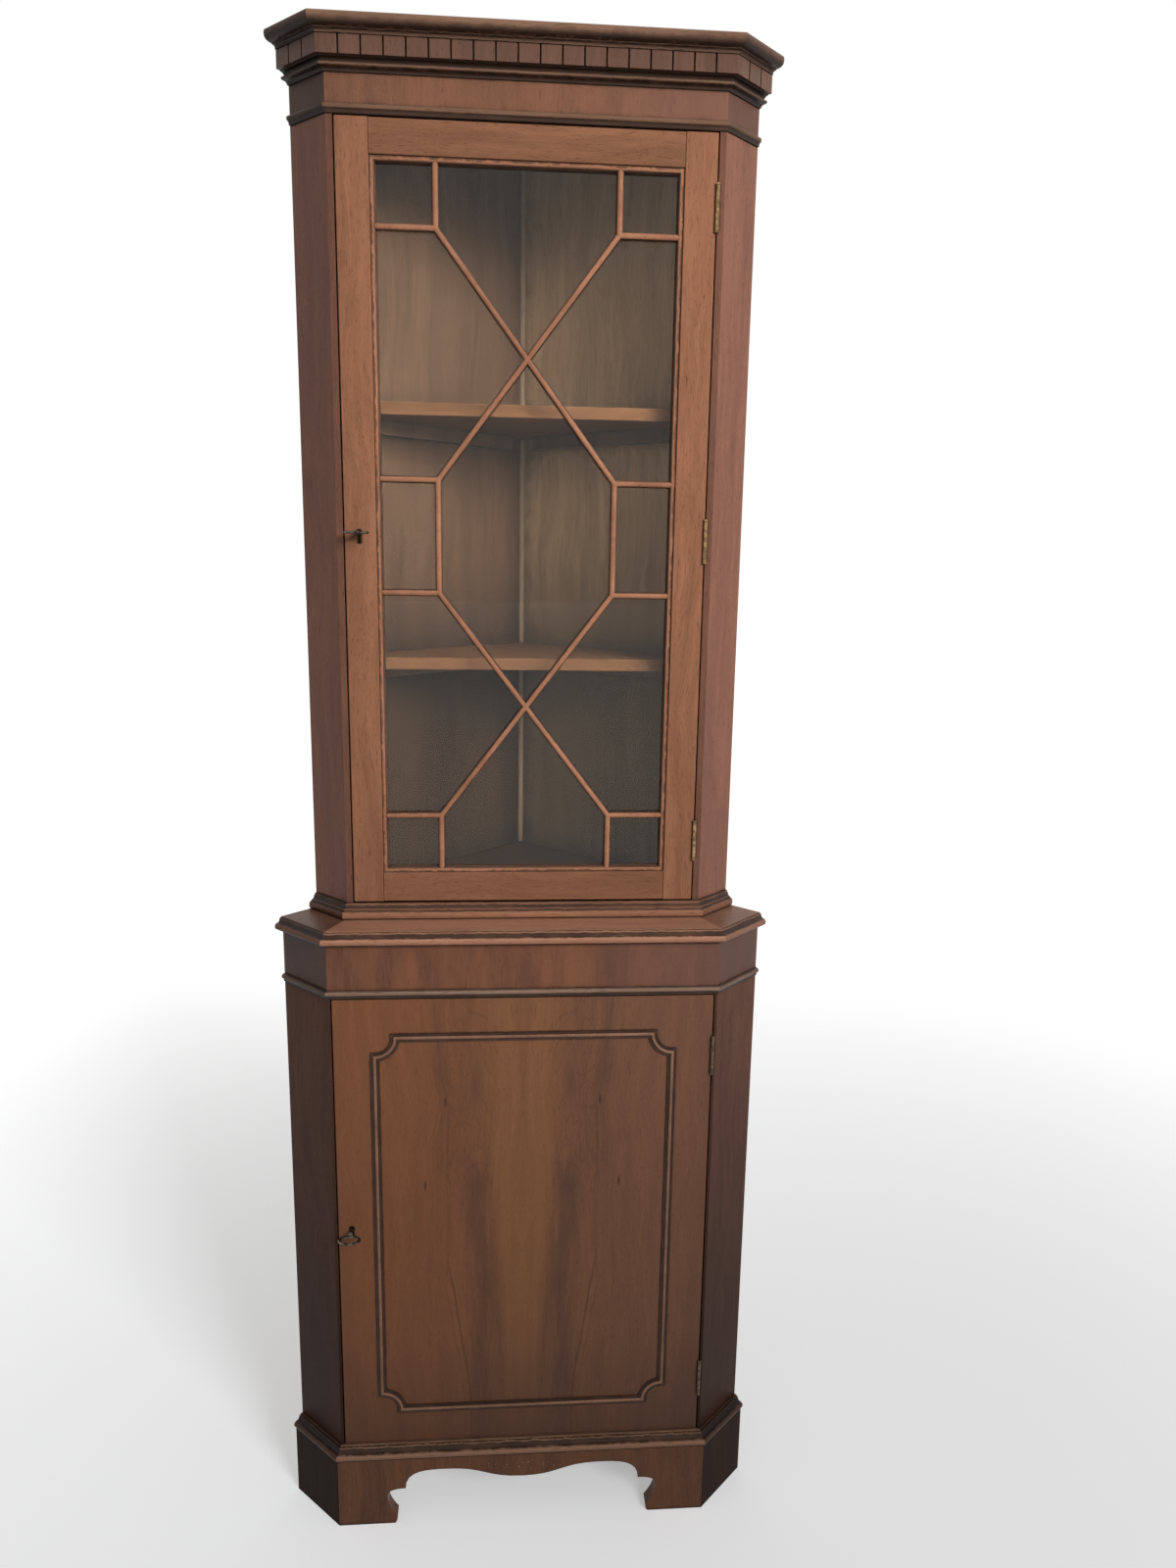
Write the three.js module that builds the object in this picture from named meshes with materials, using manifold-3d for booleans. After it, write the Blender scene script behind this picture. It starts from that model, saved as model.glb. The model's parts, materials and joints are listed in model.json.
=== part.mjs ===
// Corner cupboard in two cases: a glazed display case that stands on a cupboard with one veneered door.
// Units are millimetres, +Z is up, the doors face -Y, and +X is to the right of someone who faces them.
// The origin is on the floor, in the middle of the cupboard's footprint.
import * as THREE from "three";
import { mergeVertices } from "three/addons/utils/BufferGeometryUtils.js";
import Module from "manifold-3d";

const wasm = await Module();
wasm.setup();

// Plan of the two cases, which back onto the same pair of walls
const lowerHalfFront = 257; // centre line to the edge between the front and a canted side
const cantReach = 66; // how far a lower canted side runs back, and as far sideways
const upperInset = 21; // how much narrower the upper front is, at each end
const upperSetback = 57; // front of the upper case behind the front of the lower case

// Heights, from the floor up
const plinthHeight = 106;
const baseBoardThickness = 18;
const lowerDoorHeight = 671.5;
const lowerFriezeHeight = 73.9;
const waistBoardThickness = 18;
const upperBaseHeight = 20.6;
const upperDoorHeight = 951.5;
const upperFriezeHeight = 75.5;
const topBoardThickness = 15;
const corniceRise = 4; // rim of the cornice above the top board

// Boards and clearances
const caseBoard = 18; // canted sides
const backThickness = 6;
const backLip = 12; // wood left outside the back panels, and the thickness of the frieze boards
const shelfThickness = 15;
const doorThickness = 20;
const doorGap = 1.5; // all round each closed door
const seat = 0.3; // glue line or running clearance between two pieces
const overrun = 2; // how far a cutter passes the face that it opens

// Stiles of the case that the doors shut against
const lowerStrip = 3.5; // front edge of the case seen beside the door
const upperStrip = 8;
const stopOverlap = 6;
const stopThickness = 14;
const stopGap = 1;

// Plinth
const plinthOverhang = 12;
const plinthThickness = 18;
const rearFootHalf = 50;
const toeHalf = 179;
const toeRise = 12;
const toeRound = 10; // width of the curve that rounds the toe, from below the floor
const notchHalf = 193;
const notchRise = 46;
const cuspHalf = 167;
const cuspRise = 57.5;
const crownHalf = 108;
const crownRise = 87;
const dropRise = 69.5; // low point of the shaped edge, on the centre line
const archSteps = 8;

// Mouldings
const baseNose = 15.5;
const waistNose = 12.5;
const waistUnderside = 3; // overhang left under the nose of the waist board
const astragalHeight = 11;
const astragalNose = 4.7;
const upperBaseNose = 12;
const corniceHeight = 51.2;
const corniceNose = 32;
const dentilOverhang = 16.5;
const dentilBacking = 11.5;
const dentilHeight = 20.6;
const dentilBottom = 13.1; // above the foot of the cornice
const dentilBlocks = 19; // across the front
const returnBlocks = 3; // on each return
const kerfWidth = 2;
const kerfDepth = 3.5;

// Shelves
const lowerShelfRise = 330; // top of the base board to the top of the shelf
const upperShelfLowRise = 322;
const upperShelfHighRise = 643;
const lowerShelfSetback = 62;
const upperShelfSetback = 45;
const battenHeight = 18;
const battenDepth = 15;
const battenEnd = 14; // short of the canted side and of the corner

// Frame of the glazed door
const frameWidth = 39.3;
const arris = 0.8;
const tenonLength = 22;
const tenonThickness = 6;
const tenonShoulder = 7;

// Glazing, as depths behind the face of the door
const sashWidth = 7;
const sashFillet = 1;
const sashFront = 2.4;
const sashStep = 7;
const sashBack = 9.6;
const barWidth = 8.6;
const barFront = 2.6;
const barBack = 9.5;
const barStep = 0.12;
const jointOverlapShare = 0.12; // of the bar's width
const glassFront = 10;
const glassThickness = 3;
const beadWidth = 7;
const beadSetback = 0.6;
const cornerPane = 77; // opening edge to the centre of a bar
const diagonalRise = 145;

// Moulding planted on the lower door
const plantedInset = 54; // door edge to the centre of the moulding
const plantedWidth = 11.2;
const plantedBead = 5; // width of the round in the middle
const plantedLip = 1.7; // height of the outer edges
const plantedQuirk = 0.6; // height of the hollows beside the round
const plantedFlat = 0.3; // width of their flat floor
const plantedHeight = 3.6;
const notchRadius = 27;
const notchSteps = 7;

// Butt hinges
const hingeLength = 50;
const hingeKnuckles = 4;
const knuckleRadius = 2.3;
const hingePinRadius = 1.2;
const pinAhead = 2.6; // pin axis in front of the door's face
const leafThickness = 1.5;
const leafWidth = 14;
const finialHeight = 2.6;
const finialRadius = 2.5;
const lowerHingeInset = 86; // door end to the middle of a hinge
const upperHingeInset = 83;

// Locks and keys
const backset = 18; // door edge to the key
const lockRise = 3.5; // key above the middle of the door
const lockWidth = 32;
const lockAbove = 22;
const lockBelow = 16;
const lockInset = 10.5; // face of the door to the front plate of the lock
const lockWall = 1.3;
const selvage = 2;
const boltHeight = 9;
const boltThickness = 4;
const boltLift = 6.5; // key axis to the underside of the bolt
const boltLength = 29;
const boltTravel = 6.5;
const boltRecess = 0.2; // drawn-back bolt behind the edge of the door
const talonStart = 2.8; // gate in the bolt, before and after the key axis
const talonEnd = 9.2;
const keyholeRadius = 3.3;
const keyholeSlotHalf = 2.5;
const keyholeDrop = 12.8;
const escutcheonWall = 1.1;
const escutcheonDepth = 3;
const keyReach = 36; // tip of the bow in front of the door
const keyShankRadius = 2.4;
const keyCollarRadius = 3.6;
const keyCollarLength = 1.4;
const bowWidth = 30;
const bowLength = 20;
const bowThickness = 3.2;
const bowRim = 3.6;
const bitRadius = 8;
const bitThickness = 2;

// Rows of profile points, as shares of the overhang and of the height, from the bottom up.
// A row of four numbers is a curve: its control point, then its end.
const boardEdgeShares = [
  [0.72, 0.08],
  [1, 0.1, 1, 0.33],
  [1, 0.56, 0.72, 0.58],
  [0.62, 0.59],
  [0.42, 0.63, 0.4, 0.84],
  [0.34, 0.85],
  [0.34, 0.94],
  [0.17, 0.95],
  [0.17, 1],
];
const upperBaseShares = [
  [0.84, 0],
  [1, 0.03, 1, 0.24],
  [1, 0.48, 0.78, 0.5],
  [0.68, 0.5],
  [0.68, 0.57],
  [0.34, 0.6, 0.3, 0.87],
  [0.18, 0.87],
  [0.18, 1],
];
const astragalShares = [
  [0.3, 0],
  [0.3, 0.1],
  [0.36, 0.36, 0.66, 0.4],
  [0.72, 0.42],
  [1, 0.45, 1, 0.66],
  [1, 0.9, 0.6, 0.92],
  [0.42, 0.93],
  [0.34, 0.98, 0.14, 1],
];
const crownFootShares = [
  [0.05, 0],
  [0.07, 0.06, 0.17, 0.068],
  [0.22, 0.072],
  [0.33, 0.076, 0.33, 0.112],
  [0.33, 0.148, 0.22, 0.152],
  [0.18, 0.156],
  [0.19, 0.235, 0.35, 0.248],
];
const crownTopShares = [
  [0.54, 0.66],
  [0.54, 0.7],
  [0.55, 0.73, 0.62, 0.735],
  [0.66, 0.737],
  [0.66, 0.755],
  [0.7, 0.757],
  [1, 0.77, 1, 0.9],
  [1, 0.93],
  [1, 1, 0.92, 1],
];
const curveSteps = 5;
const roundSteps = 20;

// Sizes that follow from the ones above
const diagonal = Math.SQRT1_2; // a length at 45 degrees, along either axis
const mitre = Math.tan(Math.PI / 8); // sideways move of a mitred corner for each unit of overhang
const caseDepth = lowerHalfFront + 2 * cantReach; // lower front to the corner where the walls meet
const lower = caseRun(lowerHalfFront, 0, lowerStrip);
const upper = caseRun(lowerHalfFront - upperInset, upperSetback, upperStrip);
const baseBoardTop = plinthHeight + baseBoardThickness;
const lowerDoorBottom = baseBoardTop + doorGap;
const lowerDoorTop = lowerDoorBottom + lowerDoorHeight;
const lowerFriezeBottom = lowerDoorTop + doorGap;
const waistBottom = lowerFriezeBottom + lowerFriezeHeight;
const waistTop = waistBottom + waistBoardThickness;
const upperBaseTop = waistTop + upperBaseHeight;
const upperDoorBottom = upperBaseTop + doorGap;
const upperDoorTop = upperDoorBottom + upperDoorHeight;
const upperFriezeBottom = upperDoorTop + doorGap;
const topBoardBottom = upperFriezeBottom + upperFriezeHeight;
const topBoardTop = topBoardBottom + topBoardThickness;
const corniceTop = topBoardTop + corniceRise;
const corniceBottom = corniceTop - corniceHeight;

// A case in plan: its front, how far a canted side reaches to the wall, and its door
function caseRun(halfFront, front, strip) {
  const reach = (caseDepth - front - halfFront) / 2;
  return { halfFront, front, reach, doorHalf: halfFront - strip - doorGap };
}

// The line of a moulding in plan: left wall, left corner, right corner, right wall
function runPoints(run, overhang) {
  const cornerX = run.halfFront + overhang * mitre;
  const cornerY = run.front - overhang;
  const tipX = run.halfFront + run.reach + overhang * diagonal;
  const tipY = run.front + run.reach - overhang * diagonal;
  return [
    new THREE.Vector2(-tipX, tipY),
    new THREE.Vector2(-cornerX, cornerY),
    new THREE.Vector2(cornerX, cornerY),
    new THREE.Vector2(tipX, tipY),
  ];
}

// A point of the right canted side: along its face from the front edge, and inward from the face
function cantPoint(run, along, inward) {
  const x = run.halfFront + (along - inward) * diagonal;
  const y = run.front + (along + inward) * diagonal;
  return new THREE.Vector2(x, y);
}

function mirrored(points) {
  return points.map((point) => new THREE.Vector2(-point.x, point.y)).reverse();
}

// Points of a profile given in shares, after a first point given in real sizes
function profilePoints(shares, start, width, height) {
  const path = new THREE.Path();
  path.moveTo(start.x, start.y);
  for (const row of shares) {
    const sizes = row.map((share, i) => share * (i % 2 ? height : width));
    if (sizes.length === 2) path.lineTo(...sizes);
    else path.quadraticCurveTo(...sizes);
  }
  return path.getPoints(curveSteps);
}

// Turns a geometry whose faces point inwards
function facingOut(geometry) {
  const position = geometry.getAttribute("position");
  const index = geometry.index.array;
  const corner = (i) => new THREE.Vector3().fromBufferAttribute(position, index[i]);
  let volume = 0;
  for (let i = 0; i < index.length; i += 3) {
    volume += corner(i).dot(corner(i + 1).cross(corner(i + 2)));
  }
  if (volume < 0) index.reverse();
  return geometry;
}

// Joins rings of points into a closed skin: capped at both ends, or closed on itself without a cap
function loft(rings, cap) {
  const count = rings[0].length;
  const ringCount = rings.length;
  const spans = cap ? ringCount - 1 : ringCount;
  const index = [];
  for (let ring = 0; ring < spans; ring++) {
    const near = ring * count;
    const far = ((ring + 1) % ringCount) * count;
    for (let i = 0; i < count; i++) {
      const next = (i + 1) % count;
      index.push(near + i, near + next, far + next);
      index.push(near + i, far + next, far + i);
    }
  }
  if (cap) {
    const turned = THREE.ShapeUtils.isClockWise(cap);
    const last = (ringCount - 1) * count;
    for (const face of THREE.ShapeUtils.triangulateShape(cap, [])) {
      const [a, b, c] = turned ? [...face].reverse() : face;
      index.push(c, b, a);
      index.push(last + a, last + b, last + c);
    }
  }
  const positions = rings.flat().flatMap((point) => [point.x, point.y, point.z]);
  const geometry = new THREE.BufferGeometry();
  geometry.setAttribute("position", new THREE.Float32BufferAttribute(positions, 3));
  geometry.setIndex(index);
  return facingOut(geometry);
}

// A moulding or band mitred round the front and both canted sides; the section is overhang and height
function wrap(run, section) {
  const lines = section.map((point) => runPoints(run, point.x));
  const rings = lines[0].map((_, station) =>
    section.map((point, i) => new THREE.Vector3(lines[i][station].x, lines[i][station].y, point.y)),
  );
  return loft(rings, section);
}

// A board over the whole case, from wall to wall, whose front and canted edges follow a profile
function edgedBoard(run, edge) {
  const rings = edge.map((point) =>
    [...runPoints(run, point.x), new THREE.Vector2(0, caseDepth)].map(
      (corner) => new THREE.Vector3(corner.x, corner.y, point.y),
    ),
  );
  return loft(rings, rings[0].map((point) => new THREE.Vector2(point.x, point.y)));
}

// An upright prism on an outline in plan
function prism(outline, bottom, top) {
  const shape = new THREE.Shape(outline);
  const geometry = new THREE.ExtrudeGeometry(shape, { depth: top - bottom, bevelEnabled: false });
  return geometry.translate(0, 0, bottom);
}

// A shape drawn in front view, with a thickness from front to back
function frontPlate(shape, front, back) {
  const options = { depth: back - front, bevelEnabled: false, curveSegments: curveSteps };
  return new THREE.ExtrudeGeometry(shape, options).rotateX(Math.PI / 2).translate(0, back, 0);
}

function block(x0, x1, y0, y1, z0, z1) {
  const geometry = new THREE.BoxGeometry(x1 - x0, y1 - y0, z1 - z0);
  return geometry.translate((x0 + x1) / 2, (y0 + y1) / 2, (z0 + z1) / 2);
}

function upright(radius, x, y, bottom, top) {
  const geometry = new THREE.CylinderGeometry(radius, radius, top - bottom, roundSteps);
  return geometry.rotateX(Math.PI / 2).translate(x, y, (bottom + top) / 2);
}

// A turned piece whose axis points from front to back; the profile is radius and place along Y
function turned(profile, x, z, steps) {
  const geometry = new THREE.LatheGeometry(profile, steps);
  geometry.deleteAttribute("normal");
  geometry.deleteAttribute("uv");
  return facingOut(mergeVertices(geometry)).translate(x, 0, z);
}

// Solids for the cuts and joins
function toSolid(geometry) {
  const bare = geometry.clone();
  bare.deleteAttribute("normal");
  bare.deleteAttribute("uv");
  const merged = mergeVertices(bare);
  const vertProperties = merged.getAttribute("position").array;
  const triVerts = new Uint32Array(merged.index.array);
  return new wasm.Manifold(new wasm.Mesh({ numProp: 3, vertProperties, triVerts }));
}

function toGeometry(solid) {
  const mesh = solid.getMesh();
  const geometry = new THREE.BufferGeometry();
  geometry.setAttribute("position", new THREE.BufferAttribute(mesh.vertProperties, 3));
  geometry.setIndex(new THREE.BufferAttribute(mesh.triVerts, 1));
  return geometry;
}

function join(...pieces) {
  return toGeometry(pieces.map(toSolid).reduce((whole, piece) => whole.add(piece)));
}

function cut(piece, ...cutters) {
  return toGeometry(cutters.map(toSolid).reduce((rest, cutter) => rest.subtract(cutter), toSolid(piece)));
}

// Materials
function finish(color, roughness, metalness) {
  return new THREE.MeshStandardMaterial({ color, roughness, metalness });
}
const caseWood = finish(0x7a4c36, 0.45, 0);
const mouldingWood = finish(0x8a5638, 0.4, 0);
const doorWood = finish(0x96613f, 0.42, 0);
const veneer = finish(0x7a4a2e, 0.38, 0);
const backWood = finish(0x4a3529, 0.7, 0);
const shelfWood = finish(0x8c6a4c, 0.6, 0);
const brass = finish(0xb89a5e, 0.35, 0.9);
const keyMetal = finish(0x4b463c, 0.45, 0.9);
const glass = finish(0xc9d2cf, 0.05, 0);
glass.transparent = true;
glass.opacity = 0.3;

const cupboard = new THREE.Group();

function add(group, name, geometry, material) {
  const mesh = new THREE.Mesh(geometry, material);
  mesh.name = name;
  group.add(mesh);
}

function addPair(group, name, outline, bottom, top, material) {
  add(group, name + "_left", prism(mirrored(outline), bottom, top), material);
  add(group, name + "_right", prism(outline, bottom, top), material);
}

// Plinth: a shaped front on two bracket feet, plain mitred returns, and a block in the corner
function plinthArch() {
  const shoulder = (crownHalf + cuspHalf) / 2;
  const path = new THREE.Path();
  path.moveTo(toeHalf + toeRound, -overrun);
  path.quadraticCurveTo(toeHalf, -overrun, toeHalf, toeRise);
  path.quadraticCurveTo(notchHalf, (toeRise + notchRise) / 2, notchHalf, notchRise);
  path.quadraticCurveTo(notchHalf, cuspRise, cuspHalf, cuspRise);
  path.bezierCurveTo(cuspHalf, crownRise, shoulder, crownRise, crownHalf, crownRise);
  path.bezierCurveTo(crownHalf / 2, crownRise, crownHalf / 2, dropRise, 0, dropRise);
  const half = path.getPoints(archSteps);
  return new THREE.Shape([...half, ...mirrored(half).slice(1)]);
}

function plinth() {
  const group = new THREE.Group();
  const top = plinthHeight - seat;
  const outer = runPoints(lower, plinthOverhang);
  const inner = runPoints(lower, plinthOverhang - plinthThickness);
  const front = prism([outer[1], outer[2], inner[2], inner[1]], 0, top);
  const arch = frontPlate(plinthArch(), -plinthOverhang - overrun, plinthThickness + overrun);
  add(group, "plinth_front", cut(front, arch), veneer);
  const gap = new THREE.Vector2(seat, seat);
  const plinthReturn = [outer[2].clone().add(gap), outer[3], inner[3], inner[2].clone().add(gap)];
  addPair(group, "plinth_return", plinthReturn, 0, top, veneer);
  const footSide = new THREE.Vector2(rearFootHalf, caseDepth - rearFootHalf);
  const rearFoot = [new THREE.Vector2(0, caseDepth), ...mirrored([footSide]), footSide];
  add(group, "rear_foot", prism(rearFoot, 0, top), backWood);
  return group;
}
cupboard.add(plinth());

// Canted side with the stile that the door shuts against, and a rebate for the back panel
function cantOutline(run) {
  const length = run.reach / diagonal;
  const jamb = run.doorHalf + doorGap;
  const stopX = run.doorHalf - stopOverlap;
  const stopFront = run.front + doorThickness + stopGap;
  const stopBack = stopFront + stopThickness;
  const rebate = length - backThickness - seat;
  return [
    new THREE.Vector2(run.halfFront, run.front),
    cantPoint(run, length, 0),
    cantPoint(run, length, backLip),
    cantPoint(run, rebate, backLip),
    cantPoint(run, rebate, caseBoard),
    cantPoint(run, (stopBack - run.front) / diagonal - caseBoard, caseBoard),
    new THREE.Vector2(stopX, stopBack),
    new THREE.Vector2(stopX, stopFront),
    new THREE.Vector2(jamb, stopFront),
    new THREE.Vector2(jamb, run.front),
  ];
}

// Right back panel, from the rebate in the canted side to the corner
function backOutline(run) {
  const length = run.reach / diagonal;
  const start = backLip + seat;
  const inner = caseDepth - backThickness / diagonal;
  return [
    cantPoint(run, length, start),
    new THREE.Vector2(seat / 2, caseDepth - seat / 2),
    new THREE.Vector2(seat / 2, inner - seat / 2),
    cantPoint(run, length - backThickness, start),
  ];
}

// Where lines parallel to the canted side and to the back cross, each a clearance inside its board
function innerCorner(run, besideCant, besideBack) {
  const cantLine = run.halfFront - run.front - (caseBoard + besideCant) / diagonal;
  const backLine = caseDepth - (backThickness + besideBack) / diagonal;
  return new THREE.Vector2((cantLine + backLine) / 2, (backLine - cantLine) / 2);
}

function innerRear(besideBack) {
  return new THREE.Vector2(0, caseDepth - (backThickness + besideBack) / diagonal);
}

// Half outline of a board inside the case, with its front edge a setback behind the face
function shelfOutline(run, setback) {
  const corner = innerCorner(run, seat, seat);
  const frontY = run.front + setback;
  const front = new THREE.Vector2(corner.x - corner.y + frontY, frontY);
  const half = [front, corner];
  return [...half, innerRear(seat), ...mirrored(half)];
}

function battenOutline(run) {
  const depth = seat + battenDepth;
  const nearBack = innerRear(seat).y - battenEnd;
  const nearRoom = innerRear(depth).y - battenEnd;
  return [
    innerCorner(run, battenEnd, seat),
    new THREE.Vector2(battenEnd, nearBack),
    new THREE.Vector2(battenEnd, nearRoom),
    innerCorner(run, battenEnd, depth),
  ];
}

// A shelf on two battens, which are glued to the back panels
function addShelf(group, run, prefix, level, setback, top) {
  const underside = top - shelfThickness;
  const name = level ? prefix + "_shelf_" + level : prefix + "_shelf";
  const battenName = level ? prefix + "_batten_" + level : prefix + "_batten";
  add(group, name, prism(shelfOutline(run, setback), underside, top), shelfWood);
  const battenTop = underside - seat;
  addPair(group, battenName, battenOutline(run), battenTop - battenHeight, battenTop, backWood);
}

// Recess in the edge of a door or of the case for one leaf of a hinge
function leafRecess(run, edge, away, height) {
  const depth = leafThickness + seat;
  const x0 = away > 0 ? edge - overrun : edge - depth;
  const x1 = away > 0 ? edge + depth : edge + overrun;
  const half = hingeLength / 2 + seat;
  return block(x0, x1, run.front - overrun, run.front + leafWidth + seat, height - half, height + half);
}

function hingeHeights(run) {
  if (run === lower) return [lowerDoorTop - lowerHingeInset, lowerDoorBottom + lowerHingeInset];
  const middle = (upperDoorBottom + upperDoorTop) / 2;
  return [upperDoorTop - upperHingeInset, middle, upperDoorBottom + upperHingeInset];
}

function keyHeight(run) {
  if (run === lower) return (lowerDoorBottom + lowerDoorTop) / 2 + lockRise;
  return (upperDoorBottom + upperDoorTop) / 2 + lockRise;
}

// Middle of the bolt's thickness, in the middle of the lock
function boltDepth(run) {
  return run.front + (lockInset + doorThickness) / 2;
}

// Hole in the left canted side that the bolt is thrown into
function boltMortise(run) {
  const face = -(run.doorHalf + doorGap);
  const half = boltThickness / 2 + seat;
  const middle = boltDepth(run);
  const bottom = keyHeight(run) + boltLift - seat;
  const top = bottom + boltHeight + 2 * seat;
  return block(face - boltTravel, face + overrun, middle - half, middle + half, bottom, top);
}

function addCants(group, run, prefix, bottom, top) {
  const outline = cantOutline(run);
  const left = cut(prism(mirrored(outline), bottom, top), boltMortise(run));
  const recesses = hingeHeights(run).map((height) => leafRecess(run, run.doorHalf + doorGap, 1, height));
  add(group, prefix + "_cant_left", left, caseWood);
  add(group, prefix + "_cant_right", cut(prism(outline, bottom, top), ...recesses), caseWood);
}

function friezeSection(bottom, top) {
  return [
    new THREE.Vector2(-backLip, bottom),
    new THREE.Vector2(0, bottom),
    new THREE.Vector2(0, top),
    new THREE.Vector2(-backLip, top),
  ];
}

// A planted moulding: its section stands a glue line off the face of the case
function plantedSection(shares, nose, height, bottom) {
  const points = profilePoints(shares, new THREE.Vector2(0, 0), nose, height);
  return [...points, new THREE.Vector2(0, height)].map((p) => new THREE.Vector2(seat + p.x, bottom + p.y));
}

function boardEdge(nose, underside, thickness, bottom) {
  const points = profilePoints(boardEdgeShares, new THREE.Vector2(underside, 0), nose, thickness);
  return points.map((point) => new THREE.Vector2(point.x, bottom + point.y));
}

// Lower case
function lowerCase() {
  const group = new THREE.Group();
  const baseEdge = boardEdge(baseNose, plinthOverhang - overrun, baseBoardThickness, plinthHeight);
  add(group, "base_board", edgedBoard(lower, baseEdge), mouldingWood);
  addCants(group, lower, "lower", baseBoardTop + seat, lowerFriezeBottom - seat);
  const backTop = waistBottom - seat;
  addPair(group, "lower_back", backOutline(lower), baseBoardTop + seat, backTop, backWood);
  addShelf(group, lower, "lower", "", lowerShelfSetback, baseBoardTop + lowerShelfRise);
  const frieze = friezeSection(lowerFriezeBottom, waistBottom - seat);
  add(group, "lower_frieze", wrap(lower, frieze), veneer);
  const astragal = plantedSection(astragalShares, astragalNose, astragalHeight, lowerFriezeBottom + seat);
  add(group, "lower_astragal", wrap(lower, astragal), mouldingWood);
  const waistEdge = boardEdge(waistNose, waistUnderside, waistBoardThickness, waistBottom);
  add(group, "waist_board", edgedBoard(lower, waistEdge), mouldingWood);
  return group;
}
cupboard.add(lowerCase());

// Bottom of the upper case, notched round the stiles
function upperBottomOutline() {
  const stopX = upper.doorHalf - stopOverlap - seat;
  const stopFront = upper.front + doorThickness + stopGap - seat;
  const stopBack = upper.front + doorThickness + stopGap + stopThickness + seat;
  const jamb = upper.doorHalf + doorGap - seat;
  const corner = innerCorner(upper, seat, seat);
  const half = [
    new THREE.Vector2(jamb, upper.front),
    new THREE.Vector2(jamb, stopFront),
    new THREE.Vector2(stopX, stopFront),
    new THREE.Vector2(stopX, stopBack),
    new THREE.Vector2(corner.x - corner.y + stopBack, stopBack),
    corner,
  ];
  return [...half, innerRear(seat), ...mirrored(half)];
}

// Strip of blocks under the cornice, parted by saw cuts
function dentilBand() {
  const bottom = corniceBottom + dentilBottom + seat;
  const top = bottom + dentilHeight - 2 * seat;
  const section = [
    new THREE.Vector2(dentilBacking + seat, bottom),
    new THREE.Vector2(dentilOverhang, bottom),
    new THREE.Vector2(dentilOverhang, top),
    new THREE.Vector2(dentilBacking + seat, top),
  ];
  const [leftWall, leftCorner, rightCorner, rightWall] = runPoints(upper, dentilOverhang);
  const kerf = (from, to, share) => {
    const place = from.clone().lerp(to, share);
    const height = top - bottom + 2 * overrun;
    const box = new THREE.BoxGeometry(kerfWidth, 2 * kerfDepth, height);
    box.rotateZ(to.clone().sub(from).angle());
    return box.translate(place.x, place.y, (bottom + top) / 2);
  };
  const kerfs = [];
  for (let i = 1; i < dentilBlocks; i++) kerfs.push(kerf(leftCorner, rightCorner, i / dentilBlocks));
  for (let i = 1; i < returnBlocks; i++) {
    kerfs.push(kerf(leftWall, leftCorner, i / returnBlocks));
    kerfs.push(kerf(rightCorner, rightWall, i / returnBlocks));
  }
  return cut(wrap(upper, section), ...kerfs);
}

// Cornice: bead and cove under the dentils, a flat that carries them, cove and round nose above
function cornice() {
  const foot = profilePoints(crownFootShares, new THREE.Vector2(0, 0), corniceNose, corniceHeight);
  const flat = [
    new THREE.Vector2(dentilBacking, dentilBottom),
    new THREE.Vector2(dentilBacking, dentilBottom + dentilHeight),
  ];
  const crown = profilePoints(crownTopShares, flat[1], corniceNose, corniceHeight).slice(1);
  const back = new THREE.Vector2(0, corniceHeight);
  const section = [...foot, ...flat, ...crown, back];
  return wrap(upper, section.map((p) => new THREE.Vector2(seat + p.x, corniceBottom + p.y)));
}

// Upper case
function upperCase() {
  const group = new THREE.Group();
  const foot = waistTop + seat;
  const backTop = topBoardBottom - seat;
  const boardBottom = upperBaseTop - caseBoard;
  add(group, "upper_bottom_board", prism(upperBottomOutline(), boardBottom, upperBaseTop), shelfWood);
  addCants(group, upper, "upper", foot, upperFriezeBottom - seat);
  addPair(group, "upper_back", backOutline(upper), foot, backTop, backWood);
  addShelf(group, upper, "upper", "low", upperShelfSetback, upperBaseTop + upperShelfLowRise);
  addShelf(group, upper, "upper", "high", upperShelfSetback, upperBaseTop + upperShelfHighRise);
  const baseSection = plantedSection(upperBaseShares, upperBaseNose, upperBaseHeight - seat, foot);
  add(group, "upper_base_moulding", wrap(upper, baseSection), mouldingWood);
  add(group, "upper_frieze", wrap(upper, friezeSection(upperFriezeBottom, backTop)), caseWood);
  const astragal = plantedSection(astragalShares, astragalNose, astragalHeight, upperFriezeBottom + seat);
  add(group, "upper_astragal", wrap(upper, astragal), mouldingWood);
  const outline = [...runPoints(upper, 0), new THREE.Vector2(0, caseDepth)];
  add(group, "top_board", prism(outline, topBoardBottom, topBoardTop), backWood);
  add(group, "cornice", cornice(), mouldingWood);
  add(group, "dentil_band", dentilBand(), mouldingWood);
  return group;
}
cupboard.add(upperCase());

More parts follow.
